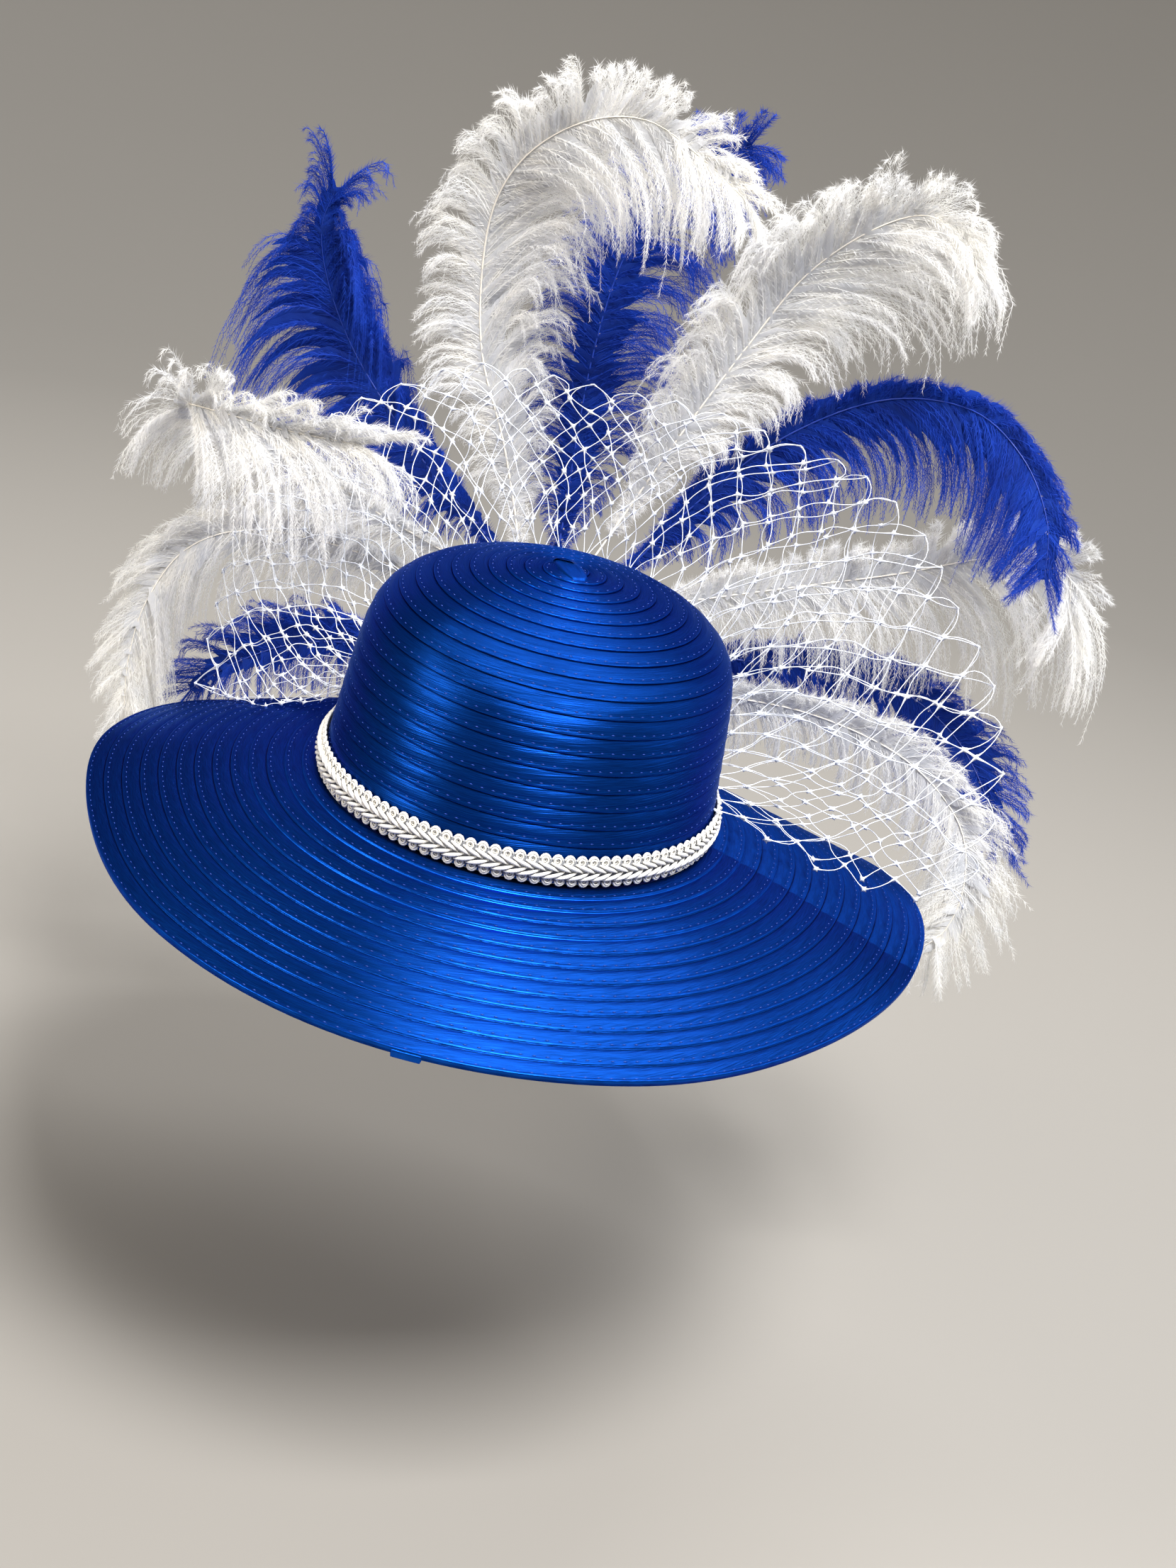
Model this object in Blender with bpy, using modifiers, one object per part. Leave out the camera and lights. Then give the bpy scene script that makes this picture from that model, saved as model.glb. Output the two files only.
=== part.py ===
"""Church hat: a satin braid crown and brim, a gimp band, a puff of coarse net and a fan of ostrich plumes.

The hat stands upright in its own frame: +Z is up the crown, -Y is the front, and the origin is the centre
of the head opening. Tables are in millimetres, and meshes are in metres.
"""
import math
from collections import namedtuple

import bmesh
import bpy
from mathutils import Vector
from mathutils.bvhtree import BVHTree

MM = 0.001
GAP = 0.3                 # clear space between neighbouring pieces
MERGE = 0.01              # points nearer than this are one
FAR_OUT = 300.0           # outside everything, where lines of measure start

# Crown and head opening
HEAD_HALF_WIDTH = 84.5    # outside of the crown wall at the headline, side to side
OVAL = 1.15               # a head is this much longer than it is wide
CROWN_HEIGHT = 100.0
WALL = 2.0                # two plies of satin braid where the rows overlap
ROW_EXPOSED = 7.6         # how much of each braid row shows
ROW_STEP = 0.8            # how proud the lower edge of a row stands
ROUND_SIDES = 32          # flats round the crown, the brim and the band, so that they nest
FINE_STEPS = 400          # steps for measuring along the crown's line
INNER_SKIP = 4            # the crown's plain inside has one ring for so many rows
SHARP_ANGLE = 35.0        # degrees, past which an edge is shaded sharp

# Gimp band round the foot of the crown
BAND_HEIGHT = 12.4
BAND_THICK = 3.0
BAND_LIFT = 0.6           # above the brim at its inner edge

# Brim
BRIM_ROWS = 13
BRIM_FALL = 1.2           # over 1, the brim falls faster the further out it is
BRIM_STEP_RUN = 0.003     # a step's run, as a share of the brim's width
BRIM_ROUND_RUN = 0.006    # the same for the rounded edge
BRIM_UNDER_RINGS = (0.99, 0.66, 0.33, 0.0)

# Net, with meridians that run from the foot of the crown to the folded outer edge
NET_THICK = 1.6
NET_BAR = 3.0             # width of the bars left between two gaps
NET_GAPS_OUT = 4          # gaps from the gathered foot to the fold, along one meridian
NET_GAPS_ROUND = 15
NET_BELLY_BACK = 0.08     # how far the net bellies out behind, as a share of its reach
NET_BELLY_UP = 0.10
NET_SAG = 8.0             # how far its two ends sag onto the brim

# Plumes, whose quills start in a fan at the back of the crown, a little left of its middle
GATHER_X = -28.0
GATHER_HEIGHT = 24.0
QUILL_SEAT = {"white": 13.0, "blue": 19.0}   # from the middle of the gather to a quill's end
QUILL_WIDE = 3.0
QUILL_TIP_WIDE = 1.6
QUILL_BARE_STEPS = 3      # steps of bare quill before the first lock
QUILL_LIES = (0.0, 1.5, 3.0)   # along the quill from its end, where the crown's rows may carry it
VANE_THICK = 1.6
LOCK_LEAN = 0.55          # how far locks lean towards the plume's tip
LOCK_DROOP = 0.30         # how far locks sag, as a share of their length
LOCK_STAGGER = 0.10       # every other lock is this much longer, and further forward
LOCK_NEAR = 0.34          # where a lock's sheet bends, as a share of its length
LOCK_FAR = 0.64           # where it bends again, and parts from its neighbours
SHORTEST_LOCK = 6.0


def table(columns, *rows):
    """Rows of a table whose columns have names."""
    row_type = namedtuple("Row", columns)
    return [row_type(*row) for row in rows]


# The crown's outer line from the headline to the tip
CROWN_LINE = table(
    "height_share width_share",
    (0.00, 1.000),
    (0.30, 0.968),
    (0.52, 0.942),
    (0.66, 0.915),
    (0.76, 0.866),
    (0.84, 0.770),
    (0.90, 0.640),
    (0.95, 0.455),
    (0.98, 0.255),
    (1.00, 0.000),
)

# The brim's edge every 30 degrees, counted from the right-hand side towards the back
BRIM_EDGE = table(
    "reach height",
    (184, -27),
    (194, -30),
    (186, -45),
    (171, -58),
    (176, -55),
    (188, -40),
    (185, -31),
    (178, -32),
    (185, -33),
    (194, -31),
    (188, -31),
    (178, -31),
)

# The gimp's cross-section, from its lower inner corner over the outside
BAND_SECTION = table(
    "height_share thick_share",
    (0.00, 0.00),
    (0.00, 0.45),
    (0.16, 0.80),
    (0.50, 1.00),
    (0.84, 0.80),
    (1.00, 0.45),
    (1.00, 0.00),
)

# The net from right to left: its gathered foot on the crown, and its outer edge
NET_EDGE = table(
    "foot_angle foot_height edge_x edge_y edge_z",
    (2, 15, 197, 34, -5),
    (19, 16, 198, 48, 30),
    (36, 18, 188, 62, 66),
    (52, 24, 162, 76, 104),
    (66, 34, 116, 90, 144),
    (80, 44, 60, 100, 156),
    (94, 48, 8, 108, 156),
    (108, 48, -44, 112, 152),
    (122, 46, -90, 108, 144),
    (136, 38, -132, 98, 120),
    (148, 28, -160, 88, 82),
    (160, 20, -176, 80, 30),
    (171, 16, -172, 70, -27),
)

# Each row of a plume is a place on its quill, and the length of the locks to the left and the right of it,
# as the plume grows and as the viewer sees it
PLUME_COLUMNS = "x y z left_lock right_lock"
PLUMES = {
    "plume_white_far_left": ("white", 7, table(
        PLUME_COLUMNS,
        (-70, 114, 36, 0, 0),
        (-130, 126, 40, 26, 24),
        (-178, 124, 36, 36, 28),
        (-206, 116, 20, 38, 28),
        (-218, 106, -8, 36, 26),
        (-220, 100, -36, 30, 22),
        (-216, 94, -60, 18, 14),
    )),
    "plume_white_left": ("white", 11, table(
        PLUME_COLUMNS,
        (-64, 108, 52, 0, 0),
        (-116, 112, 66, 36, 22),
        (-160, 110, 82, 44, 26),
        (-190, 100, 92, 42, 20),
        (-204, 84, 98, 24, 10),
        (-197, 68, 103, 18, 10),
        (-176, 58, 106, 18, 34),
        (-148, 52, 108, 18, 48),
        (-112, 48, 112, 14, 26),
    )),
    "plume_white_top": ("white", 12, table(
        PLUME_COLUMNS,
        (-46, 116, 66, 0, 0),
        (-66, 126, 110, 22, 40),
        (-86, 128, 148, 30, 56),
        (-94, 126, 186, 32, 64),
        (-93, 120, 218, 32, 60),
        (-80, 110, 244, 30, 52),
        (-56, 98, 264, 30, 54),
        (-28, 86, 272, 28, 52),
        (0, 76, 264, 24, 44),
        (22, 68, 254, 16, 24),
    )),
    "plume_white_upper_right": ("white", 10, table(
        PLUME_COLUMNS,
        (-6, 116, 86, 0, 0),
        (14, 124, 140, 28, 34),
        (34, 124, 188, 36, 52),
        (50, 120, 222, 36, 66),
        (72, 112, 248, 32, 70),
        (94, 104, 262, 20, 58),
        (112, 96, 258, 16, 40),
        (124, 90, 244, 12, 18),
    )),
    "plume_white_right": ("white", 9, table(
        PLUME_COLUMNS,
        (0, 118, 48, 0, 0),
        (44, 130, 66, 20, 26),
        (86, 142, 82, 26, 42),
        (126, 142, 100, 28, 52),
        (158, 136, 118, 28, 58),
        (182, 126, 130, 26, 58),
        (198, 116, 128, 22, 46),
        (204, 108, 112, 14, 26),
    )),
    "plume_white_low_right": ("white", 7, table(
        PLUME_COLUMNS,
        (4, 116, 18, 0, 0),
        (58, 122, 24, 16, 18),
        (106, 124, 28, 20, 22),
        (152, 120, 22, 26, 26),
        (184, 112, 4, 28, 28),
        (196, 104, -20, 28, 28),
        (194, 96, -46, 26, 26),
        (176, 90, -64, 16, 18),
    )),
    "plume_blue_low_left": ("blue", 6, table(
        PLUME_COLUMNS,
        (-72, 112, 8, 0, 0),
        (-110, 122, -2, 20, 28),
        (-146, 126, -14, 20, 34),
        (-174, 122, -32, 18, 32),
        (-192, 116, -50, 12, 18),
    )),
    "plume_blue_upper_left": ("blue", 9, table(
        PLUME_COLUMNS,
        (-58, 124, 60, 0, 0),
        (-98, 136, 84, 28, 30),
        (-130, 144, 108, 46, 44),
        (-154, 146, 132, 56, 52),
        (-170, 144, 158, 44, 44),
        (-176, 138, 182, 20, 24),
        (-172, 134, 200, 14, 18),
    )),
    "plume_blue_top": ("blue", 9, table(
        PLUME_COLUMNS,
        (-30, 126, 62, 0, 0),
        (-36, 142, 112, 30, 36),
        (-40, 152, 156, 34, 44),
        (-38, 156, 198, 34, 46),
        (-28, 154, 230, 30, 42),
        (-10, 148, 254, 24, 34),
        (10, 140, 268, 16, 22),
    )),
    "plume_blue_right": ("blue", 10, table(
        PLUME_COLUMNS,
        (2, 122, 66, 0, 0),
        (30, 130, 112, 18, 30),
        (60, 132, 150, 20, 38),
        (98, 128, 178, 18, 44),
        (136, 118, 186, 16, 48),
        (164, 106, 174, 16, 44),
        (182, 96, 152, 16, 36),
        (188, 88, 130, 12, 24),
    )),
    "plume_blue_low_right": ("blue", 8, table(
        PLUME_COLUMNS,
        (8, 122, 34, 0, 0),
        (62, 146, 36, 16, 20),
        (104, 156, 42, 22, 24),
        (140, 156, 42, 26, 28),
        (170, 148, 32, 28, 28),
        (192, 136, 14, 26, 26),
        (206, 126, -8, 16, 18),
    )),
}

COLOURS = {
    "satin": ((0.006, 0.045, 0.42), 0.35),
    "gimp": ((0.80, 0.79, 0.74), 0.55),
    "net": ((0.84, 0.85, 0.88), 0.5),
    "white": ((0.80, 0.80, 0.78), 0.75),
    "blue": ((0.005, 0.035, 0.40), 0.75),
}


def clear_scene():
    """Removes what the file holds, so that the script can be run again."""
    for thing in list(bpy.data.objects):
        bpy.data.objects.remove(thing, do_unlink=True)


def make_material(name):
    """A plain Principled material of the finish's colour and roughness."""
    colour, roughness = COLOURS[name]
    material = bpy.data.materials.new(name)
    material.use_nodes = True
    shader = material.node_tree.nodes["Principled BSDF"]
    shader.inputs["Base Color"].default_value = (*colour, 1.0)
    shader.inputs["Roughness"].default_value = roughness
    shader.inputs["Metallic"].default_value = 0.0
    return material


def add_object(bm, name, material, collection):
    """Turns a bmesh in millimetres into a named object in metres."""
    bmesh.ops.scale(bm, vec=(MM, MM, MM), verts=bm.verts)
    mesh = bpy.data.meshes.new(name)
    bm.to_mesh(mesh)
    bm.free()
    mesh.shade_smooth()
    mesh.set_sharp_from_angle(angle=math.radians(SHARP_ANGLE))
    piece = bpy.data.objects.new(name, mesh)
    piece.data.materials.append(material)
    collection.objects.link(piece)
    return piece


def solidify(piece, thickness):
    """Gives an open sheet its thickness, half to each side."""
    wall = piece.modifiers.new("wall", "SOLIDIFY")
    wall.thickness = thickness * MM
    wall.offset = 0.0
    wall.use_even_offset = False


def between(rows, place):
    """A smooth curve through table rows, read at a place counted in rows."""
    last = len(rows) - 1
    index = min(int(place), last - 1)
    part = place - index
    before = rows[max(index - 1, 0)]
    after = rows[min(index + 2, last)]
    return smooth_mix(before, rows[index], rows[index + 1], after, part)


def between_round(rows, place):
    """The same for a table that closes on itself."""
    count = len(rows)
    index = int(math.floor(place))
    part = place - index
    four = [rows[(index + step) % count] for step in (-1, 0, 1, 2)]
    return smooth_mix(*four, part)


def smooth_mix(before, start, end, after, part):
    """Catmull-Rom curve from start to end."""
    values = []
    for a, b, c, d in zip(before, start, end, after):
        bend = 2 * a - 5 * b + 4 * c - d
        twist = 3 * b - a - 3 * c + d
        values.append(0.5 * (2 * b + (c - a) * part + bend * part ** 2 + twist * part ** 3))
    return type(start)(*values)


def crown_half_width(height):
    """Half width of the crown's outside at a height above the headline."""
    share = max(0.0, min(1.0, height / CROWN_HEIGHT))
    for low, high in zip(CROWN_LINE, CROWN_LINE[1:]):
        if low.height_share <= share <= high.height_share:
            part = (share - low.height_share) / (high.height_share - low.height_share)
            return HEAD_HALF_WIDTH * (low.width_share + part * (high.width_share - low.width_share))
    return 0.0


def wall_of(crown):
    """The crown's surface, ready to be asked where something meets it."""
    mesh = crown.data
    return BVHTree.FromPolygons(
        [vert.co / MM for vert in mesh.vertices],
        [tuple(face.vertices) for face in mesh.polygons],
    )


def meet_crown(wall, start, way):
    """The place where a straight line from outside first meets the crown."""
    return wall.ray_cast(start, way)[0]


def profile_points(spacing):
    """Points of the crown's outer line from the tip down, one for each braid row."""
    line = []
    for step in range(FINE_STEPS + 1):
        row = between(CROWN_LINE, (len(CROWN_LINE) - 1) * (1 - step / FINE_STEPS))
        line.append(Vector((max(0.0, row.width_share) * HEAD_HALF_WIDTH, row.height_share * CROWN_HEIGHT)))
    run = [0.0]
    for a, b in zip(line, line[1:]):
        run.append(run[-1] + (b - a).length)
    rows = round(run[-1] / spacing)
    points = []
    mark = 0
    for row in range(rows + 1):
        target = run[-1] * row / rows
        while mark < FINE_STEPS and run[mark] < target:
            mark += 1
        points.append(line[mark])
    return points


def inward(points, index):
    """Unit vector from the crown's outer line towards its inside."""
    along = points[min(index + 1, len(points) - 1)] - points[max(index - 1, 0)]
    return Vector((-along.y, along.x)).normalized() * -1


def build_crown(material, collection):
    """Turns the stepped braid profile round the crown's axis, then makes it oval."""
    outer = profile_points(ROW_EXPOSED)
    profile = [Vector((0.0, CROWN_HEIGHT))]
    for index in range(1, len(outer)):
        profile.append(outer[index])
        if index < len(outer) - 1:
            profile.append(outer[index] + inward(outer, index) * ROW_STEP)
    profile.append(Vector((outer[-1].x, -WALL)))
    profile.append(Vector((outer[-1].x - WALL, -WALL)))
    for index in range(len(outer) - 2, 1, -INNER_SKIP):
        profile.append(outer[index] + inward(outer, index) * WALL)
    profile.append(Vector((0.0, CROWN_HEIGHT - WALL)))

    bm = bmesh.new()
    verts = [bm.verts.new((point.x, 0.0, point.y)) for point in profile]
    edges = [bm.edges.new(pair) for pair in zip(verts, verts[1:])]
    bmesh.ops.spin(
        bm,
        geom=verts + edges,
        cent=(0, 0, 0),
        axis=(0, 0, 1),
        angle=math.tau,
        steps=ROUND_SIDES,
        use_merge=True,
    )
    bmesh.ops.remove_doubles(bm, verts=bm.verts, dist=MERGE)
    bmesh.ops.scale(bm, vec=(1.0, OVAL, 1.0), verts=bm.verts)
    bmesh.ops.recalc_face_normals(bm, faces=bm.faces)
    return add_object(bm, "crown", material, collection)


def loft_rings(bm, rings):
    """Joins closed rings of points, and the last ring to the first, into one closed skin."""
    loops = [[bm.verts.new(point) for point in ring] for ring in rings]
    for one, two in zip(loops, loops[1:] + loops[:1]):
        count = len(one)
        for index in range(count):
            after = (index + 1) % count
            bm.faces.new((one[index], one[after], two[after], two[index]))
    bmesh.ops.recalc_face_normals(bm, faces=bm.faces)


def brim_point(angle, share, lift=0.0):
    """A place on the brim's top: share 0 is at the crown and 1 is at the edge."""
    row = between_round(BRIM_EDGE, math.degrees(angle) / (360 / len(BRIM_EDGE)))
    inner = HEAD_HALF_WIDTH + GAP
    root = Vector((inner * math.cos(angle), inner * OVAL * math.sin(angle), 0.0))
    edge = Vector((row.reach * math.cos(angle), row.reach * math.sin(angle), row.height))
    point = root.lerp(edge, share)
    point.z = row.height * share ** BRIM_FALL + lift
    return point


def build_brim(material, collection):
    """Lofts the brim from rings: stepped rows on top, a rounded edge and a plain underside."""
    angles = [math.tau * step / ROUND_SIDES for step in range(ROUND_SIDES)]
    rings = [[brim_point(angle, 0.0) for angle in angles]]
    for row in range(1, BRIM_ROWS):
        share = row / BRIM_ROWS
        rings.append([brim_point(angle, share) for angle in angles])
        rings.append([brim_point(angle, share + BRIM_STEP_RUN, -ROW_STEP) for angle in angles])
    rings.append([brim_point(angle, 1.0 - BRIM_ROUND_RUN) for angle in angles])
    rings.append([brim_point(angle, 1.0, -WALL / 2) for angle in angles])
    for share in BRIM_UNDER_RINGS:
        rings.append([brim_point(angle, share, -WALL) for angle in angles])
    bm = bmesh.new()
    loft_rings(bm, rings)
    return add_object(bm, "brim", material, collection)


def build_band(material, collection):
    """Wraps the gimp's cross-section round the foot of the crown."""
    rings = []
    for row in BAND_SECTION:
        height = BAND_LIFT + row.height_share * BAND_HEIGHT
        out = GAP + row.thick_share * BAND_THICK
        half = crown_half_width(height) + out
        long_half = crown_half_width(height) * OVAL + out
        ring = []
        for step in range(ROUND_SIDES):
            angle = math.tau * step / ROUND_SIDES
            ring.append(Vector((half * math.cos(angle), long_half * math.sin(angle), height)))
        rings.append(ring)
    bm = bmesh.new()
    loft_rings(bm, rings)
    return add_object(bm, "gimp_band", material, collection)


def net_point(wall, round_share, ring_share):
    """A place on the net: ring_share 0 is the gathered foot and 1 is the folded edge."""
    row = between(NET_EDGE, round_share * (len(NET_EDGE) - 1))
    angle = math.radians(row.foot_angle)
    away = Vector((math.cos(angle), math.sin(angle), 0.0))
    outside = away * FAR_OUT + Vector((0.0, 0.0, row.foot_height))
    foot = meet_crown(wall, outside, -away) + away * (GAP + NET_THICK / 2)
    edge = Vector((row.edge_x, row.edge_y, row.edge_z))
    middle = math.sin(math.pi * ring_share)
    belly = (edge - foot).length * middle * math.sin(math.pi * round_share)
    rise = belly * NET_BELLY_UP - NET_SAG * middle * (1 - math.sin(math.pi * round_share))
    return foot.lerp(edge, ring_share) + away * belly * NET_BELLY_BACK + Vector((0.0, 0.0, rise))


def build_net(wall, material, collection):
    """Lays diamonds on the puffed surface, insets each and opens it, which leaves the bars."""
    bm = bmesh.new()
    levels = NET_GAPS_OUT * 2
    knots = {}
    for level in range(levels + 1):
        shift = 0.5 * (level % 2)
        for column in range(NET_GAPS_ROUND + 1 - level % 2):
            point = net_point(wall, (column + shift) / NET_GAPS_ROUND, level / levels)
            knots[level, column] = bm.verts.new(point)
    diamonds = []
    for level in range(levels - 1):
        odd = level % 2
        for column in range(NET_GAPS_ROUND + 1):
            sides = [(level + 1, column + odd), (level + 1, column + odd - 1)]
            corners = [(level, column), sides[0], (level + 2, column), sides[1]]
            if all(corner in knots for corner in corners):
                diamonds.append(bm.faces.new([knots[corner] for corner in corners]))
    loose = [vert for vert in bm.verts if not vert.link_faces]
    bmesh.ops.delete(bm, geom=loose, context="VERTS")
    bmesh.ops.recalc_face_normals(bm, faces=bm.faces)
    bmesh.ops.inset_individual(bm, faces=diamonds, thickness=NET_BAR / 2, use_even_offset=True)
    bmesh.ops.delete(bm, geom=diamonds, context="FACES")
    piece = add_object(bm, "net_veil", material, collection)
    solidify(piece, NET_THICK)
    return piece


def quill_start(wall, colour, first):
    """Where a quill lies on the crown's back, in the direction that its plume grows."""
    aim = Vector((first.x - GATHER_X, 0.0, first.z - GATHER_HEIGHT)).normalized()
    place = Vector((GATHER_X, FAR_OUT, GATHER_HEIGHT)) + aim * QUILL_SEAT[colour]
    across = Vector((-aim.z, 0.0, aim.x)) * QUILL_WIDE / 2
    forward = Vector((0.0, -1.0, 0.0))
    touches = [place + across * side + aim * along for side in (-1, 0, 1) for along in QUILL_LIES]
    place.y = max(meet_crown(wall, touch, forward).y for touch in touches)
    return place.x, place.y + GAP + VANE_THICK / 2, place.z


def plume_stations(wall, colour, locks, rows):
    """Places along a plume: the bare quill from its seat, then one at each side of every lock."""
    whole = [type(rows[0])(*quill_start(wall, colour, rows[0]), 0.0, 0.0)] + rows
    vane = len(whole) - 2
    stations = [between(whole, step / QUILL_BARE_STEPS) for step in range(QUILL_BARE_STEPS)]
    stations += [between(whole, 1 + vane * step / locks) for step in range(locks + 1)]
    return stations


def build_plume(name, colour, locks, rows, wall, material, collection):
    """Cuts a vane into locks on both sides of a quill, then gives the sheet its thickness."""
    stations = plume_stations(wall, colour, locks, rows)
    places = [Vector((station.x, station.y, station.z)) for station in stations]
    last = len(stations) - 1
    front = Vector((0.0, -1.0, 0.0))
    down = Vector((0.0, 0.0, -1.0))
    alongs = []
    lefts = []
    for index in range(last + 1):
        along = (places[min(index + 1, last)] - places[max(index - 1, 0)]).normalized()
        alongs.append(along)
        lefts.append(front.cross(along).normalized())

    bm = bmesh.new()
    edges = {1: [], -1: []}
    for index, place in enumerate(places):
        half = (QUILL_WIDE + (QUILL_TIP_WIDE - QUILL_WIDE) * index / last) / 2
        for turn, edge in edges.items():
            edge.append(bm.verts.new(place + lefts[index] * half * turn))
    for index in range(last):
        corners = (edges[1][index], edges[-1][index], edges[-1][index + 1], edges[1][index + 1])
        bm.faces.new(corners)
    tip = bm.verts.new(places[last] + alongs[last] * stations[last].left_lock)
    bm.faces.new((edges[1][last], edges[-1][last], tip))

    for turn, edge in edges.items():
        lengths = [station.left_lock if turn == 1 else station.right_lock for station in stations]
        near, far = {}, {}
        for index in range(QUILL_BARE_STEPS, last + 1):
            length = max(SHORTEST_LOCK, lengths[index])
            way = (lefts[index] * turn + alongs[index] * LOCK_LEAN).normalized()
            base = edge[index].co
            sag = down * LOCK_DROOP
            near[index] = bm.verts.new(base + (way * LOCK_NEAR + sag * LOCK_NEAR ** 2) * length)
            far[index] = bm.verts.new(base + (way * LOCK_FAR + sag * LOCK_FAR ** 2) * length)
        for index in range(QUILL_BARE_STEPS, last):
            after = index + 1
            stagger = LOCK_STAGGER if index % 2 else -LOCK_STAGGER
            length = max(SHORTEST_LOCK, (lengths[index] + lengths[after]) / 2) * (1 + stagger)
            side = (lefts[index] + lefts[after]) * turn
            way = (side + (alongs[index] + alongs[after]) * LOCK_LEAN).normalized()
            base = (edge[index].co + edge[after].co) / 2
            point = bm.verts.new(base + (way + down * LOCK_DROOP + front * stagger) * length)
            bm.faces.new((edge[index], edge[after], near[after], near[index]))
            bm.faces.new((near[index], near[after], far[after], far[index]))
            bm.faces.new((far[index], far[after], point))
    bmesh.ops.recalc_face_normals(bm, faces=bm.faces)
    bmesh.ops.triangulate(bm, faces=bm.faces)
    piece = add_object(bm, name, material, collection)
    solidify(piece, VANE_THICK)
    return piece


def main():
    """Builds every piece of the hat into one collection."""
    clear_scene()
    collection = bpy.data.collections.new("church_hat")
    bpy.context.scene.collection.children.link(collection)
    materials = {name: make_material(name) for name in COLOURS}
    crown = build_crown(materials["satin"], collection)
    wall = wall_of(crown)
    build_brim(materials["satin"], collection)
    build_band(materials["gimp"], collection)
    build_net(wall, materials["net"], collection)
    for name, (colour, locks, rows) in PLUMES.items():
        build_plume(name, colour, locks, rows, wall, materials[colour], collection)


main()
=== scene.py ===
# %% [markdown]
# # A church hat in satin braid, net and ostrich plumes
# The hat is made the way a milliner makes it. Satin braid is sewn round and round into a crown and a brim, a
# gimp trim covers the join, hat net is gathered behind the crown, and ostrich plumes fan out behind the net.
# The frame is the solid model of those pieces, in metres. Sizes here are in millimetres unless a comment says
# otherwise, and MM turns them to metres where a mesh is made.

# %% The frame
import math
from collections import namedtuple

import bmesh
import bpy
import numpy as np
from mathutils import Matrix, Vector


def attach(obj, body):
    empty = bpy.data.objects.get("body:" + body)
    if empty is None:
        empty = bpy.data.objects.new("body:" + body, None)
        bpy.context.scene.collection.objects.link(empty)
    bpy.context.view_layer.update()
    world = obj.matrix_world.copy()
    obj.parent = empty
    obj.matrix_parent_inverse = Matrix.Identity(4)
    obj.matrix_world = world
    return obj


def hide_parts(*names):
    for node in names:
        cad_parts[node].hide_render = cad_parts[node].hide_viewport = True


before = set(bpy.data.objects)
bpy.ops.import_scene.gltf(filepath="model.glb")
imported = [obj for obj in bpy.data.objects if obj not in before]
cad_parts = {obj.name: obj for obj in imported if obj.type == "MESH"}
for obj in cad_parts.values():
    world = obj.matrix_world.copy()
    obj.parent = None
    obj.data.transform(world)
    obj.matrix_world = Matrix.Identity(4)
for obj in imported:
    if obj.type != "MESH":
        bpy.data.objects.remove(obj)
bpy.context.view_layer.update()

MM = 0.001
SEED = 11

# %% [markdown]
# ## The hat's lines
# A hat block gives the crown its line, and a wire gives the brim its edge. Both could be read off the
# frame's mesh, but that mesh is faceted. So the few sections that the frame was made from are repeated here,
# and a smooth curve runs through them.

# %% Tables with named columns
def table(columns, *rows):
    """Rows of a table whose columns have names."""
    row_type = namedtuple("Row", columns)
    return [row_type(*row) for row in rows]


def along_rows(rows, places, closed=False):
    """Catmull-Rom curve through a table's rows, read at many places that are counted in rows."""
    values = np.asarray(rows, float)
    places = np.asarray(places, float)
    last = len(values) - 1
    index = np.floor(places).astype(int)
    if not closed:
        index = np.clip(index, 0, last - 1)
    between = (places - index)[..., None]
    near = [index + step for step in (-1, 0, 1, 2)]
    near = [pick % len(values) if closed else np.clip(pick, 0, last) for pick in near]
    before, here, ahead, beyond = (values[pick] for pick in near)
    bend = 2 * before - 5 * here + 4 * ahead - beyond
    twist = 3 * here - before - 3 * ahead + beyond
    return 0.5 * (2 * here + (ahead - before) * between + bend * between ** 2 + twist * between ** 3)


# %% The crown's line
HEAD_HALF_WIDTH = 84.5
OVAL = 1.15
CROWN_HEIGHT = 100.0
WALL = 2.0
ROW_EXPOSED = 7.6
FINE_STEPS = 600
CROWN_LINE = table(
    "height_share width_share",
    (0.00, 1.000),
    (0.30, 0.968),
    (0.52, 0.942),
    (0.66, 0.915),
    (0.76, 0.866),
    (0.84, 0.770),
    (0.90, 0.640),
    (0.95, 0.455),
    (0.98, 0.255),
    (1.00, 0.000),
)
line = along_rows(CROWN_LINE, np.linspace(len(CROWN_LINE) - 1, 0, FINE_STEPS + 1))
line_height = line[:, 0] * CROWN_HEIGHT
line_radius = np.maximum(line[:, 1], 0.0) * HEAD_HALF_WIDTH
line_run = np.concatenate([[0.0], np.cumsum(np.hypot(np.diff(line_radius), np.diff(line_height)))])
line_slope = np.arctan2(np.gradient(line_radius), -np.gradient(line_height))
CROWN_RUN = line_run[-1]
CROWN_ROWS = round(CROWN_RUN / ROW_EXPOSED)


def crown_at(angle, run, out):
    """Points on the crown, by the angle, the way down from its tip and the height off its line."""
    radius = np.interp(run, line_run, line_radius)
    height = np.interp(run, line_run, line_height)
    slope = np.interp(run, line_run, line_slope)
    push = np.cos(slope) * out
    lift = np.sin(slope) * out
    return np.stack([
        (radius + push) * np.cos(angle),
        (radius * OVAL + push) * np.sin(angle),
        height + lift - np.maximum(run - CROWN_RUN, 0.0),
    ], axis=-1)


def crown_radius(height):
    """The crown's half width at a height above the head opening."""
    return np.interp(height, line_height[::-1], line_radius[::-1])


print(f"crown: {CROWN_RUN:.0f} mm from tip to foot, in {CROWN_ROWS} rows of braid")

# %% The brim's surface
GAP = 0.3
BRIM_ROWS = 13
BRIM_FALL = 1.2
BRIM_EDGE = table(
    "reach height",
    (184, -27),
    (194, -30),
    (186, -45),
    (171, -58),
    (176, -55),
    (188, -40),
    (185, -31),
    (178, -32),
    (185, -33),
    (194, -31),
    (188, -31),
    (178, -31),
)


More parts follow.
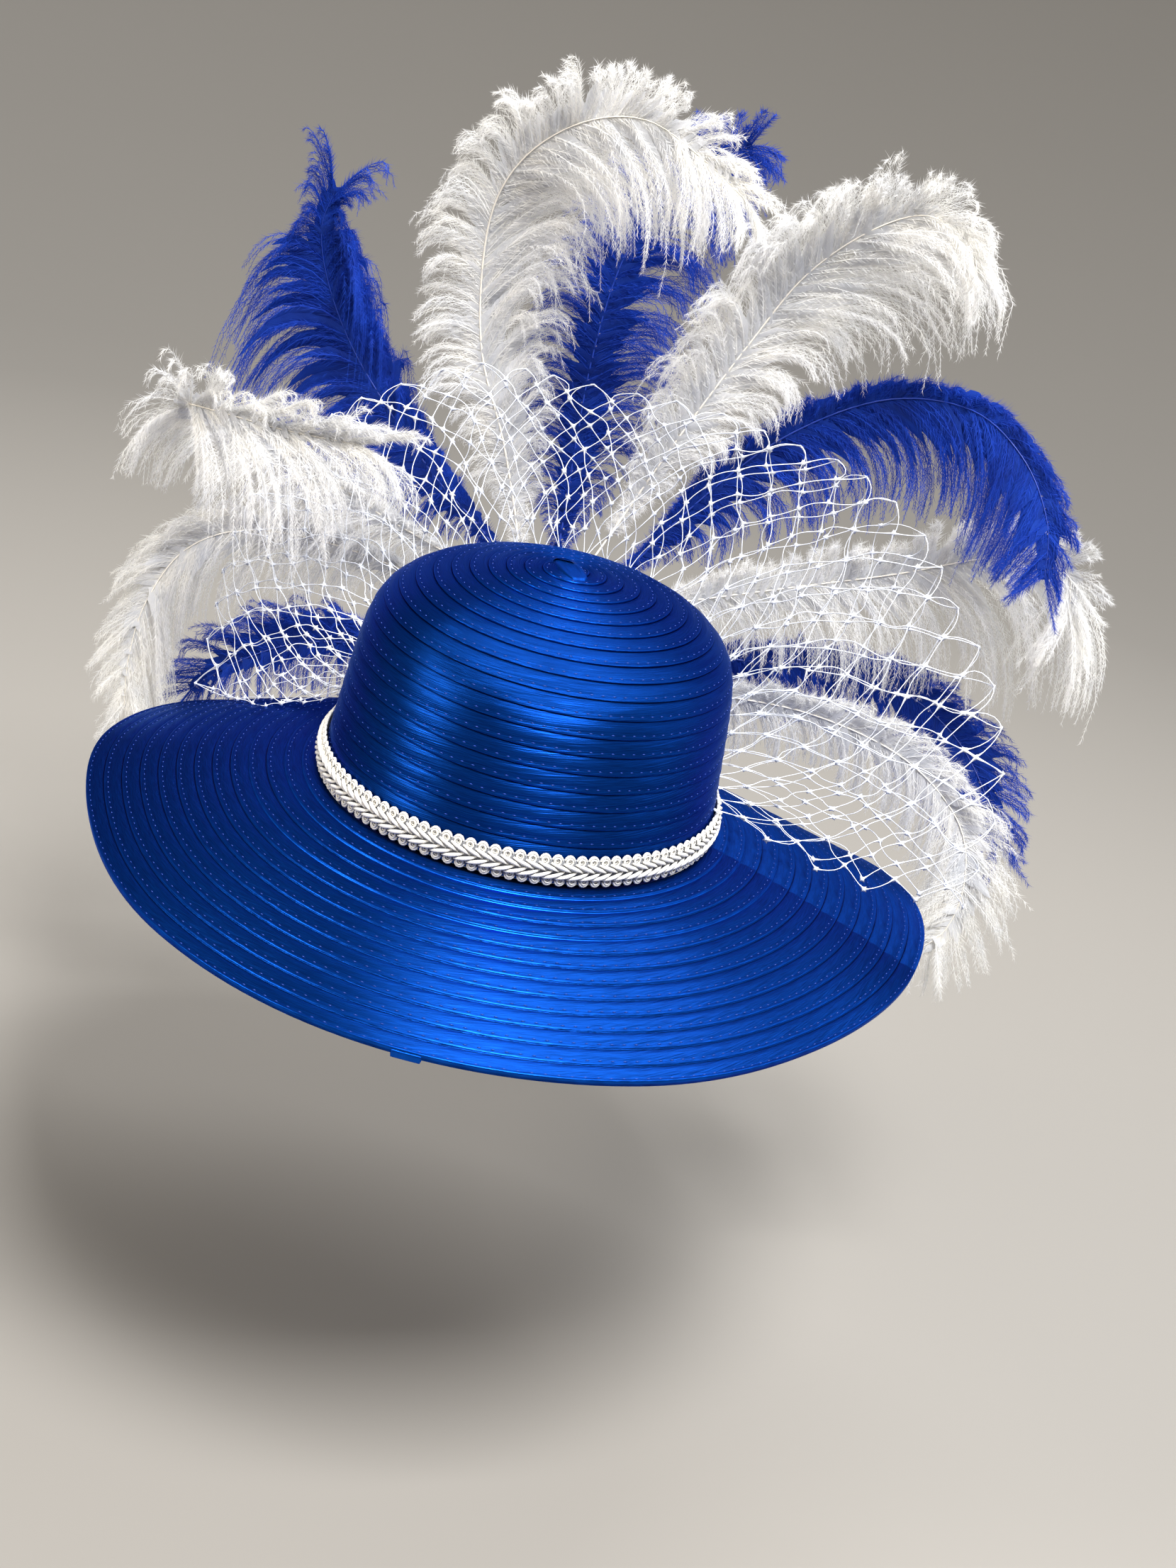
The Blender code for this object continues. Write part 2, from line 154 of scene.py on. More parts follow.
def brim_at(angle, share, out):
    """Points on the brim, by the angle, the share of the way out and the height off its top."""
    edge = along_rows(BRIM_EDGE, angle / math.tau * len(BRIM_EDGE), closed=True)
    reach, height = edge[..., 0], edge[..., 1]
    inner = HEAD_HALF_WIDTH + GAP
    across = inner + (reach - inner) * share
    deep = inner * OVAL + (reach - inner * OVAL) * share
    fall = height * np.maximum(share, 0.0) ** BRIM_FALL
    return np.stack([across * np.cos(angle), deep * np.sin(angle), fall + out], axis=-1)


edge_reaches = [row.reach for row in BRIM_EDGE]
print(f"brim: {BRIM_ROWS} rows, its edge {min(edge_reaches)} to {max(edge_reaches)} mm from the middle")

# %% [markdown]
# ## Helpers that make meshes
# Three helpers make every piece. A grid is laid over a surface, a cord is swept along a path, and a small
# unit is repeated in many places. Each one works on whole arrays, because the plumes alone have over a
# hundred thousand barbules, and one Python call for each would take minutes. Every piece also gets a map: a
# UV map whose two axes follow the ribbon or cord, in metres on grids and in millimetres on cords, so that a
# thread keeps its real size wherever the ribbon goes. A repeated unit's map is all zeros.

# %% A grid laid over a surface
def laid_grid(columns, rows, place):
    """A bmesh grid whose corners are put on a surface. place gets two arrays that run from 0 to 1."""
    bm = bmesh.new()
    bmesh.ops.create_grid(bm, x_segments=columns, y_segments=rows, size=0.5)
    flat = np.array([vert.co for vert in bm.verts]) + 0.5
    points, map_places = place(flat[:, 0], flat[:, 1])
    map_layer = bm.loops.layers.uv.new("map")
    for vert, point, spot in zip(bm.verts, points * MM, map_places * MM):
        vert.co = point
        for loop in vert.link_loops:
            loop[map_layer].uv = spot
    return bm


def finish_piece(bm, name, materials, weld=None, outward=True):
    """Turns a bmesh into an object at the origin that rides with the hat."""
    if weld:
        bmesh.ops.remove_doubles(bm, verts=bm.verts, dist=weld * MM)
    if outward:
        bmesh.ops.recalc_face_normals(bm, faces=bm.faces)
    mesh = bpy.data.meshes.new(name)
    bm.to_mesh(mesh)
    bm.free()
    return add_piece(mesh, name, materials)


def add_piece(mesh, name, materials):
    """Links a finished mesh, smooth, with its materials, and lets it ride with the hat."""
    for material in materials:
        mesh.materials.append(material)
    mesh.shade_smooth()
    piece = bpy.data.objects.new(name, mesh)
    bpy.context.scene.collection.objects.link(piece)
    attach(piece, "root")
    mesh.calc_loop_triangles()
    print(f"{name}: {len(mesh.loop_triangles)} triangles")
    return piece


# %% Cords swept along paths, and units repeated
Part = namedtuple("Part", "points faces map_places material")


def unit(vectors):
    """Vectors made one long."""
    return vectors / np.maximum(np.linalg.norm(vectors, axis=-1, keepdims=True), 1e-9)


def cords(paths, radii, ups, sides, flat=1.0, material=0):
    """Tubes along many paths at once. ups say which way their tops face, and flat squashes them so."""
    paths = np.asarray(paths, float)
    count, steps = paths.shape[:2]
    radii = np.broadcast_to(radii, (count, steps))[..., None, None]
    forward = unit(np.gradient(paths, axis=1))
    across = unit(np.cross(forward, np.broadcast_to(ups, paths.shape)))
    top = np.cross(across, forward)
    turn = np.arange(sides) * math.tau / sides
    ring = across[:, :, None] * np.cos(turn)[:, None] + top[:, :, None] * np.sin(turn)[:, None] * flat
    points = (paths[:, :, None] + ring * radii).reshape(-1, 3)
    first = np.arange(count)[:, None, None] * steps * sides
    step = np.arange(steps - 1)[:, None] * sides
    corner = first + step + np.arange(sides)
    beside = first + step + (np.arange(sides) + 1) % sides
    faces = np.stack([corner, beside, beside + sides, corner + sides], axis=-1).reshape(-1, 4)
    length = np.linalg.norm(np.diff(paths, axis=1), axis=-1)
    run = np.concatenate([np.zeros((count, 1)), np.cumsum(length, axis=1)], axis=1)
    spots = np.stack(np.broadcast_arrays(np.arange(sides) / sides, run[..., None]), axis=-1)
    return Part(points, faces, spots.reshape(-1, 2), material)


def repeated(points, faces, places, forwards, ups, material=0):
    """Copies of a small unit. Its own x runs forward and its z faces up at each place."""
    across = unit(np.cross(ups, forwards))
    top = np.cross(forwards, across)
    axes = np.stack([forwards, across, top], axis=1)
    corners = places[:, None] + np.einsum("pi,nij->npj", np.asarray(points, float), axes)
    shift = np.arange(len(places))[:, None, None] * len(points)
    copied = (np.asarray(faces)[None] + shift).reshape(-1, len(faces[0]))
    return Part(corners.reshape(-1, 3), copied, np.zeros((len(places) * len(points), 2)), material)


def joined_mesh(name, parts):
    """One mesh from several parts, in millimetres, with their map."""
    counts = np.concatenate([np.full(len(part.faces), part.faces.shape[1]) for part in parts])
    starts = np.cumsum([0] + [len(part.points) for part in parts[:-1]])
    corners = np.concatenate([(part.faces + start).ravel() for part, start in zip(parts, starts)])
    points = np.concatenate([part.points for part in parts]) * MM
    spots = np.concatenate([part.map_places for part in parts])[corners]
    slots = np.concatenate([np.full(len(part.faces), part.material) for part in parts])
    mesh = bpy.data.meshes.new(name)
    mesh.vertices.add(len(points))
    mesh.vertices.foreach_set("co", points.astype(np.float32).ravel())
    mesh.loops.add(len(corners))
    mesh.loops.foreach_set("vertex_index", corners.astype(np.int32))
    mesh.polygons.add(len(counts))
    loop_starts = np.concatenate([[0], np.cumsum(counts)[:-1]])
    mesh.polygons.foreach_set("loop_start", loop_starts.astype(np.int32))
    mesh.polygons.foreach_set("material_index", slots.astype(np.int32))
    mesh.update(calc_edges=True)
    mesh.uv_layers.new(name="map").data.foreach_set("uv", spots.astype(np.float32).ravel())
    mesh.validate()
    return mesh


# %% [markdown]
# ## Materials
# Each material starts from what the real one is and how it is made. Colours are written as sRGB hex values,
# as a dyer's card would give them, and one function turns them to linear light. One more function adds a
# node: a plain dictionary holds its properties, the values of its sockets and the outputs that feed them.

# %% Colours and nodes
def colour(hex_text):
    """Linear red, green, blue and alpha of an sRGB hex colour."""
    parts = [int(hex_text[place:place + 2], 16) / 255 for place in (1, 3, 5)]
    return [part / 12.92 if part <= 0.04045 else ((part + 0.055) / 1.055) ** 2.4 for part in parts] + [1.0]


def set_up(tree, node, settings):
    """Sets a node's properties, colour stops and sockets, and links a socket that is given an output."""
    for name, value in settings.items():
        if name == "stops":
            for stop, (place, tone) in zip(node.color_ramp.elements, value):
                stop.position = place
                stop.color = colour(tone)
        elif isinstance(value, bpy.types.NodeSocket):
            tree.links.new(value, node.inputs[name])
        elif isinstance(name, str) and hasattr(node, name):
            setattr(node, name, value)
        else:
            node.inputs[name].default_value = value


def add_node(tree, kind, settings=None):
    """Adds a node with its settings and links."""
    node = tree.nodes.new(kind)
    set_up(tree, node, settings or {})
    return node


def new_material(name, finish):
    """A material with one Principled shader, whose plain sockets are given by name."""
    material = bpy.data.materials.new(name)
    material.use_nodes = True
    tree = material.node_tree
    shader = tree.nodes["Principled BSDF"]
    set_up(tree, shader, finish)
    return material, tree, shader


# %% [markdown]
# ### Polyester satin braid
# Satin has long threads that float side by side like fine wires, so its shine is drawn out into bands, and it
# takes the dye's colour. A glossy blue alone would look like plastic. So the shader is nearly metallic and
# anisotropic. Its tangent comes from the map and is turned by a quarter, which draws the bands out across the
# rows, down the crown and over the brim. Two painted marks stand for light on each row. Painted shade makes a
# dark line where the row is tucked under the last one and lies in its shadow. A painted highlight runs along
# the fold at its edge, where the threads turn over to the light. Float threads are about 0.1 mm apart, too
# fine to show, so they are drawn four times as coarse.

# %% Satin
THREAD_MM = 0.4
THREAD_LONG_MM = 10.0
PUCKER_MM = 4.0
PUCKER_LONG_MM = PUCKER_MM / 0.7
PUCKER_TO_THREAD = 9.0
SATIN_RELIEF_MM = 0.04
# Painted shade along each row's tucked edge and a painted highlight along its folded edge: their widths, and
# how far they darken and lighten the dye.
PAINTED_TUCK_SHADE_MM = 0.9
PAINTED_TUCK_SHADE = 0.12
PAINTED_FOLD_HIGHLIGHT_MM = 0.7
PAINTED_FOLD_HIGHLIGHT = 1.9


def make_satin():
    """Royal blue satin with drawn-out shine, faint float threads and puckers beside the stitches."""
    material, tree, shader = new_material("polyester_satin_braid", {
        "Roughness": 0.37,
        "Metallic": 0.92,
        "IOR": 1.57,
        "Anisotropic": 0.6,
        "Anisotropic Rotation": 0.25,
        "Specular Tint": colour("#7FA8F4"),
    })
    place = add_node(tree, "ShaderNodeUVMap", {"uv_map": "map"}).outputs["UV"]
    thread_stretch = Vector((1 / (THREAD_MM * MM), 1 / (THREAD_LONG_MM * MM), 1.0))
    threads_at = add_node(tree, "ShaderNodeMapping", {"Scale": thread_stretch, "Vector": place})
    threads = add_node(tree, "ShaderNodeTexNoise", {
        "Scale": 1.0,
        "Detail": 3.0,
        "Vector": threads_at.outputs["Vector"],
    })
    pucker_stretch = Vector((1 / (PUCKER_MM * MM), 1 / (PUCKER_LONG_MM * MM), 1.0))
    puckers_at = add_node(tree, "ShaderNodeMapping", {"Scale": pucker_stretch, "Vector": place})
    puckers = add_node(tree, "ShaderNodeTexNoise", {
        "Scale": 1.0,
        "Detail": 2.0,
        "Vector": puckers_at.outputs["Vector"],
    })
    shades = add_node(tree, "ShaderNodeValToRGB", {
        "stops": [(0.3, "#032A6D"), (0.75, "#063E94")],
        "Fac": threads.outputs["Fac"],
    })
    across = add_node(tree, "ShaderNodeSeparateXYZ", {"Vector": place}).outputs["X"]
    # Painted shade: the dye is darkened over the start of each row's map, where the row above shadows it.
    # Painted highlight: the dye is lightened over the row's last part, for light on the folded edge. Map
    # places below zero take the full painted shade, and places past the row's width take the full painted
    # highlight.
    painted_tuck_shade = add_node(tree, "ShaderNodeMapRange", {
        "interpolation_type": "SMOOTHSTEP",
        "Value": across,
        "From Max": PAINTED_TUCK_SHADE_MM * MM,
        "To Min": PAINTED_TUCK_SHADE,
    })
    fold = add_node(tree, "ShaderNodeMapRange", {
        "Value": across,
        "From Min": (ROW_EXPOSED - PAINTED_FOLD_HIGHLIGHT_MM) * MM,
        "From Max": ROW_EXPOSED * MM,
        "To Min": 1.0,
        "To Max": PAINTED_FOLD_HIGHLIGHT,
    })
    shade = add_node(tree, "ShaderNodeMath", {
        "operation": "MULTIPLY",
        0: painted_tuck_shade.outputs["Result"],
        1: fold.outputs["Result"],
    })
    # The dye's colour with the painted shade and the painted highlight laid on it.
    dye_with_painted_light = add_node(tree, "ShaderNodeVectorMath", {
        "operation": "SCALE",
        0: shades.outputs["Color"],
        "Scale": shade.outputs["Value"],
    })
    relief = add_node(tree, "ShaderNodeMath", {
        "operation": "MULTIPLY_ADD",
        0: puckers.outputs["Fac"],
        1: PUCKER_TO_THREAD,
        2: threads.outputs["Fac"],
    })
    bump = add_node(tree, "ShaderNodeBump", {
        "Strength": 0.7,
        "Distance": SATIN_RELIEF_MM * MM,
        "Height": relief.outputs["Value"],
    })
    tangent = add_node(tree, "ShaderNodeTangent", {"direction_type": "UV_MAP", "uv_map": "map"})
    set_up(tree, shader, {
        "Base Color": dye_with_painted_light.outputs["Vector"],
        "Normal": bump.outputs["Normal"],
        "Tangent": tangent.outputs["Tangent"],
    })
    return material


satin = make_satin()
print("satin threads drawn", THREAD_MM, "mm apart")

# %% [markdown]
# ### Threads, gimp cord and net
# The stitches are dyed polyester thread, the gimp is rayon cord on a woven rayon backing, and the net is
# stiff nylon. All of them but the backing are wound from plies or filaments, so a slanting wave on the map
# gives each ply a bump, with a painted highlight on its ridge and painted shade in its groove. Rayon has a
# soft gloss with a little fuzz on it, which the sheen gives, and nylon has less of that. The backing is
# rough, and its grey is painted shade for the cords' shadow on it.

# %% Threads, cords and net
PLY_RELIEF_MM = 0.1


def make_thread(name, pale, dark, finish, ply_mm):
    """Twisted or drawn thread: plies wind round it, with painted shade between them and a painted highlight
    on each.
    """
    material, tree, shader = new_material(name, finish)
    place = add_node(tree, "ShaderNodeUVMap", {"uv_map": "map"}).outputs["UV"]
    slant = Vector((1.0, 1 / ply_mm, 1.0))
    plies = add_node(tree, "ShaderNodeTexWave", {
        "bands_direction": "DIAGONAL",
        "wave_profile": "SIN",
        "Scale": 1.0,
        "Vector": add_node(tree, "ShaderNodeMapping", {"Scale": slant, "Vector": place}).outputs["Vector"],
    })
    # Painted light: each ply is pale on its ridge and dark in its groove.
    shades = add_node(tree, "ShaderNodeValToRGB", {
        "stops": [(0.0, dark), (0.5, pale)],
        "Fac": plies.outputs["Fac"],
    })
    bump = add_node(tree, "ShaderNodeBump", {
        "Strength": 0.4,
        "Distance": PLY_RELIEF_MM * MM,
        "Height": plies.outputs["Fac"],
    })
    set_up(tree, shader, {"Base Color": shades.outputs["Color"], "Normal": bump.outputs["Normal"]})
    return material


# Each thread's two colours are its painted ply highlight and its painted groove shade.
sewing_thread = make_thread(
    "dyed_polyester_thread", "#2A5EC4", "#0C3890",
    {"Roughness": 0.5, "IOR": 1.57}, ply_mm=0.6,
)
gimp_cord = make_thread(
    "rayon_gimp_cord", "#F3F0E8", "#CBC7BE",
    {"Roughness": 0.32, "IOR": 1.53, "Sheen Weight": 0.3, "Sheen Tint": colour("#FFFDF5")}, ply_mm=0.9,
)
# The backing's grey is painted shade, for the shadow of the cords over it.
gimp_backing_painted_shade = new_material("rayon_gimp_backing", {
    "Base Color": colour("#8E8F94"), "Roughness": 0.8, "IOR": 1.53,
})[0]
net_thread = make_thread(
    "nylon_net_thread", "#E8EBF1", "#D0D5E0",
    {"Roughness": 0.35, "IOR": 1.53, "Sheen Weight": 0.2}, ply_mm=0.5,
)
print("threads:", ", ".join(each.name for each in (sewing_thread, gimp_cord, gimp_backing_painted_shade, net_thread)))

# %% [markdown]
# ### Ostrich feather
# White plumes are bleached, and blue ones are dyed. An ostrich barbule has no hooks, so it hangs loose and
# lets light through, and a Translucent shader beside the Principled one gives that glow. Keratin is built of
# fibres about a thousandth of a millimetre thick, which scatter light every way. A noise of that size is far
# too fine to show as a pattern, but it gives each ray its own tone and slope, and so makes the feather soft
# and matt. A second noise lets tones drift from lock to lock. The webs under the barbs are darker, which is
# painted shade for the barbs' shadow on them, and a quill is bare, smooth keratin.

# %% Feather
GRAIN_MM = 0.0007
GRAIN_LONG_MM = 0.016
GRAIN_SHARE = 0.6
LOCK_TONE_MM = 14.0
LOCK_SHARE = 0.4
FEATHER_RELIEF_MM = 0.3


def make_feather(name, pale, dark, through, glow_share):
    """Loose, light-passing feather whose tone drifts from lock to lock."""
    material, tree, shader = new_material(name, {
        "Roughness": 0.75,
        "IOR": 1.54,
        "Specular IOR Level": 0.25,
        "Sheen Weight": 0.2,
        "Sheen Roughness": 0.5,
        "Sheen Tint": colour(pale),
    })
    place = add_node(tree, "ShaderNodeUVMap", {"uv_map": "map"}).outputs["UV"]
    grain_stretch = Vector((1 / GRAIN_MM, 1 / GRAIN_LONG_MM, 1.0))
    grain_at = add_node(tree, "ShaderNodeMapping", {"Scale": grain_stretch, "Vector": place})
    grain = add_node(tree, "ShaderNodeTexNoise", {
        "Scale": 1.0,
        "Detail": 2.0,
        "Vector": grain_at.outputs["Vector"],
    })
    drift = add_node(tree, "ShaderNodeTexNoise", {
        "Scale": 1 / (LOCK_TONE_MM * MM),
        "Detail": 2.0,
        "Vector": add_node(tree, "ShaderNodeTexCoord").outputs["Object"],
    })
    lock_tone = add_node(tree, "ShaderNodeMath", {
        "operation": "MULTIPLY",
        0: drift.outputs["Fac"],
        1: LOCK_SHARE,
    })
    tone = add_node(tree, "ShaderNodeMath", {
        "operation": "MULTIPLY_ADD",
        0: grain.outputs["Fac"],
        1: GRAIN_SHARE,
        2: lock_tone.outputs["Value"],
    })
    shades = add_node(tree, "ShaderNodeValToRGB", {
        "stops": [(0.36, dark), (0.60, pale)],
        "Fac": tone.outputs["Value"],
    })
    bump = add_node(tree, "ShaderNodeBump", {
        "Strength": 0.7,
        "Distance": FEATHER_RELIEF_MM * MM,
        "Height": grain.outputs["Fac"],
    })
    set_up(tree, shader, {"Base Color": shades.outputs["Color"], "Normal": bump.outputs["Normal"]})
    glow = add_node(tree, "ShaderNodeBsdfTranslucent", {"Color": colour(through)})
    mix = add_node(tree, "ShaderNodeMixShader", {
        "Fac": glow_share,
        1: shader.outputs["BSDF"],
        2: glow.outputs["BSDF"],
    })
    set_up(tree, tree.nodes["Material Output"], {"Surface": mix.outputs["Shader"]})
    return material


def make_quill(name, tone):
    """Bare keratin, smooth and a little glossy."""
    return new_material(name, {"Base Color": colour(tone), "Roughness": 0.4, "IOR": 1.54})[0]


BARB_SLOT, QUILL_SLOT, WEB_SLOT = range(3)
plume_materials = {
    "white": [
        make_feather("bleached_ostrich_barbs", "#FDFBF6", "#DEE0E6", "#F7F5F0", 0.35),
        make_quill("bare_keratin_quill", "#E4DED2"),
        # The webs' colours are darker than the barbs': painted shade for the barbs over them.
        make_feather("bleached_ostrich_web", "#F0F0F2", "#C6CAD2", "#EFEEEC", 0.35),
    ],
    "blue": [
        make_feather("dyed_ostrich_barbs", "#1648C0", "#062A8C", "#1240B8", 0.30),
        make_quill("dyed_keratin_quill", "#10369A"),
        make_feather("dyed_ostrich_web", "#1140AE", "#052678", "#103AA8", 0.30),
    ],
}
print("feather tints:", ", ".join(plume_materials))

# %% [markdown]
# ## Crown
# A braid hat starts at the tip. The ribbon is coiled, and each turn is sewn under the edge of the one before.
# The frame has plain rings for rows. Here one ribbon winds down the crown in a true spiral, and its own
# section gives each row a tucked start, a soft belly, the dip of the stitches and a turned edge. It is one
# long grid laid on the crown's line, because a grid keeps the map straight along the ribbon, and the satin's
# bands need that. The inside and the cut foot are two more grids in the same mesh.

# %% The ribbon's section
RIBBON = table(
    "share out",
    (-0.28, -1.35),
    (0.00, -0.95),
    (0.08, -0.62),
    (0.38, -0.22),
    (0.66, -0.16),
    (0.775, -0.36),
    (0.87, -0.12),
    (0.97, -0.02),
    (1.00, -0.20),
    (0.995, -0.95),
)
STITCH_SHARE = 0.775
INNER_RIBBON = table(
    "share out",
    (0.00, -2.3),
    (0.12, -2.3),
    (0.90, -1.8),
    (1.00, -1.7),
)
ROUND_STEPS = 144


def section_at(section, place):
    """The section's share and height at places that run from 0 to 1, from point to point."""
    spots = np.linspace(0, 1, len(section))
    return (
        np.interp(place, spots, [row.share for row in section]),
        np.interp(place, spots, [row.out for row in section]),
    )


print("ribbon section:", len(RIBBON), "points")

# %% The crown's spiral
FOOT_TUCK = 1.5
FOOT_INNER = -1.7
FOOT_OUTER = -0.2


def crown_ribbon(along, across):
    """Winds the ribbon from the tip to the foot."""
    turns = along * CROWN_ROWS
    share, out = section_at(RIBBON, across)
    row = CROWN_RUN / CROWN_ROWS
    run = np.clip((turns - 1.0 + share) * row, 0.0, CROWN_RUN + FOOT_TUCK)
    angle = turns * math.tau
    points = crown_at(angle, run, out)
    length = turns * math.tau * np.interp(run, line_run, line_radius)
    return points, np.stack([share * row, length], axis=-1)


def crown_inside(along, down):
    """The plain inside, and the foot where it turns out to meet the first row."""
    rows = down * CROWN_ROWS
    row = np.minimum(np.floor(rows), CROWN_ROWS - 1)
    share, out = section_at(INNER_RIBBON, rows - row)
    run = (row + share) / CROWN_ROWS * CROWN_RUN
    angle = along * math.tau
    points = crown_at(angle, run, out)
    return points, np.stack([run, along * math.tau * HEAD_HALF_WIDTH], axis=-1)


def crown_foot(along, across):
    """The cut edge at the head opening, from the inside to the outside."""
    out = FOOT_INNER + (FOOT_OUTER - FOOT_INNER) * across
    angle = along * math.tau
    drop = WALL * np.sin(math.pi * across)
    points = crown_at(angle, CROWN_RUN + drop, out)
    return points, np.stack([out, along * math.tau * HEAD_HALF_WIDTH], axis=-1)


# The inside's map runs in millimetres down the crown, so below its first few millimetres it takes the satin's
# full painted highlight. The foot's map is below zero, so it takes the full painted shade.
outside = laid_grid(CROWN_ROWS * ROUND_STEPS, len(RIBBON) - 1, crown_ribbon)
inside = laid_grid(ROUND_STEPS // 2, CROWN_ROWS * (len(INNER_RIBBON) - 1), crown_inside)
foot = laid_grid(ROUND_STEPS, 6, crown_foot)
for extra in (inside, foot):
    held = bpy.data.meshes.new("held")
    extra.to_mesh(held)
    extra.free()
    outside.from_mesh(held)
    bpy.data.meshes.remove(held)
crown = finish_piece(outside, "crown_satin_spiral", [satin], outward=False)
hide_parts("crown")

# %% [markdown]
# ## The crown's tip
# The ribbon has to start somewhere. Its end is folded to a flat oval that hides the middle of the spiral, and
# a second fold just behind stands open like a small mouth. Both are grids laid on the dome. A few plain
# curves raise one edge or the mouth, and sink the rims, so that no edge floats over the crown.

# %% The tip, where the ribbon starts
TIP_LONG = 13.0
TIP_WIDE = 6.0
TIP_TURN = math.radians(-58.0)
TIP_DOME = 190.0
TIP_OFF = 0.1
RIDGE_HIGH = 0.45
RIDGE_AT = 0.8
RIDGE_WIDE = 0.12
RIM_FROM = 0.85
SIDE_SINK = 1.5
END_SINK = 1.2
PAST_PAINTED_TUCK_SHADE = 0.8
LIP_X = -4.5
LIP_Y = 7.0
LIP_HALF_LONG = 5.0
LIP_DEEP = 6.0
LIP_BOW = 1.5
LIP_RISE = 1.15
LIP_DOME = 231.0
LIP_OFF = 0.2
LIP_END_SINK = 0.5
LIP_BACK_SINK = 0.6


def rim_share(side):
    """0 over most of a patch that runs from -1 to 1, and rising to 1 at its rims."""
    return np.clip(np.abs(side) - RIM_FROM, 0, 1) / (1 - RIM_FROM)


def tip_fold(along, across):
    """The ribbon's folded start, laid over the middle of the spiral, with one raised edge."""
    end = along * 2 - 1
    x = end * TIP_LONG
    y = (across * 2 - 1) * TIP_WIDE * np.sqrt(np.clip(1.02 - end ** 2, 0.03, 1))
    ridge = RIDGE_HIGH * np.exp(-((across - RIDGE_AT) / RIDGE_WIDE) ** 2)
    lift = (ridge - SIDE_SINK * rim_share(across * 2 - 1)) * np.clip(1.1 - np.abs(end), 0, 1)
    dome = CROWN_HEIGHT + TIP_OFF - (x ** 2 + y ** 2) / TIP_DOME
    points = np.stack([
        x * math.cos(TIP_TURN) - y * math.sin(TIP_TURN),
        x * math.sin(TIP_TURN) + y * math.cos(TIP_TURN),
        dome + lift - END_SINK * rim_share(end),
    ], axis=-1)
    # The map starts just inside the satin's painted shade band, so only a trace of that shade falls on this
    # edge, and the far edge takes the painted highlight.
    return points, np.stack([across * ROW_EXPOSED + PAST_PAINTED_TUCK_SHADE, along * 2 * TIP_LONG], axis=-1)


def tip_lip(along, across):
    """The open mouth of the ribbon's folded end, behind the middle. It faces forward and closes behind."""
    side = along * 2 - 1
    x = LIP_X + side * LIP_HALF_LONG
    y = LIP_Y + across * LIP_DEEP - LIP_BOW * side ** 2
    mouth = LIP_RISE * np.clip(1 - side ** 2, 0, 1) * (1 - across) ** 1.5
    sunk = LIP_END_SINK * np.abs(side) ** 6 + LIP_BACK_SINK * across ** 4
    dome = CROWN_HEIGHT + LIP_OFF - (x ** 2 + (y / OVAL) ** 2) / LIP_DOME
    points = np.stack([x, y, dome + mouth - sunk], axis=-1)
    # The map starts 0.4 mm in, so the mouth's edge takes part of the satin's painted shade, standing for the
    # shadow inside the mouth.
    return points, np.stack([0.4 + across * LIP_DEEP * 0.8, along * 2 * LIP_HALF_LONG], axis=-1)


for name, size, place in (("crown_tip_fold", 24, tip_fold), ("crown_tip_lip", 16, tip_lip)):
    tip = finish_piece(laid_grid(size, size, place), name, [satin], outward=False)

# %% [markdown]
# ## Brim
# The brim is the same ribbon, row outside row, over a wire in the last row that holds the edge in its dips
# and rises. Its rows are closed rings, because the brim is wider at the sides than behind and the ribbon is
# eased. One grid makes the whole skin: out over the top rows, round the edge and back underneath, and its
# seams are welded.

# %% The brim's rows, top and underside
BRIM_STEPS = 168
BRIM_WIDE = 100.0
WIRE_BULGE = 0.5
ROUNDING = 1e-6


def brim_skin(along, across):
    """One closed skin: rows on top from the crown out, round the wired edge, and back underneath."""
    angle = along * math.tau
    top = across * 2.0 <= 1.0
    rows = np.where(top, across * 2.0, 2.0 - across * 2.0) * BRIM_ROWS
    row = np.clip(np.floor(rows - np.where(top, 0.0, ROUNDING)), 0, BRIM_ROWS - 1)
    share_top, out_top = section_at(RIBBON[1:], rows - row)
    share_low, out_low = section_at(INNER_RIBBON, rows - row)
    share = np.where(top, share_top, share_low)
    bulge = np.where(row == BRIM_ROWS - 1, WIRE_BULGE * share ** 6, 0.0)
    out = np.where(top, out_top + bulge, out_low - bulge)
    way = (row + share) / BRIM_ROWS
    reach = HEAD_HALF_WIDTH + BRIM_WIDE * way
    return brim_at(angle, way, out), np.stack([share * ROW_EXPOSED, along * math.tau * reach], axis=-1)


points_across = 2 * BRIM_ROWS * (len(RIBBON) - 2)
brim = finish_piece(
    laid_grid(BRIM_STEPS, points_across, brim_skin), "brim_satin_rows", [satin], weld=0.002,
)
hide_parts("brim")

# %% [markdown]
# ## The ribbon's end
# The last row has to end too. The braid is cut, folded over the brim's edge at the front and sewn down, so a
# short tab shows a little below the rim. It is a small pillow, with a section like a rounded box.

# %% The ribbon's end, folded over the brim's edge
TAB_FROM = math.radians(273.2)
TAB_TO = math.radians(276.6)
TAB_DROP = 2.0
TAB_INNER = 0.62
TAB_REACH = 0.42
TAB_THICK = 1.65
TAB_SQUARE = 0.35
TAB_END_FROM = 0.94
TAB_END_REACH = 0.08
TAB_END_THIN = 0.9
TAB_LONG = 30.0


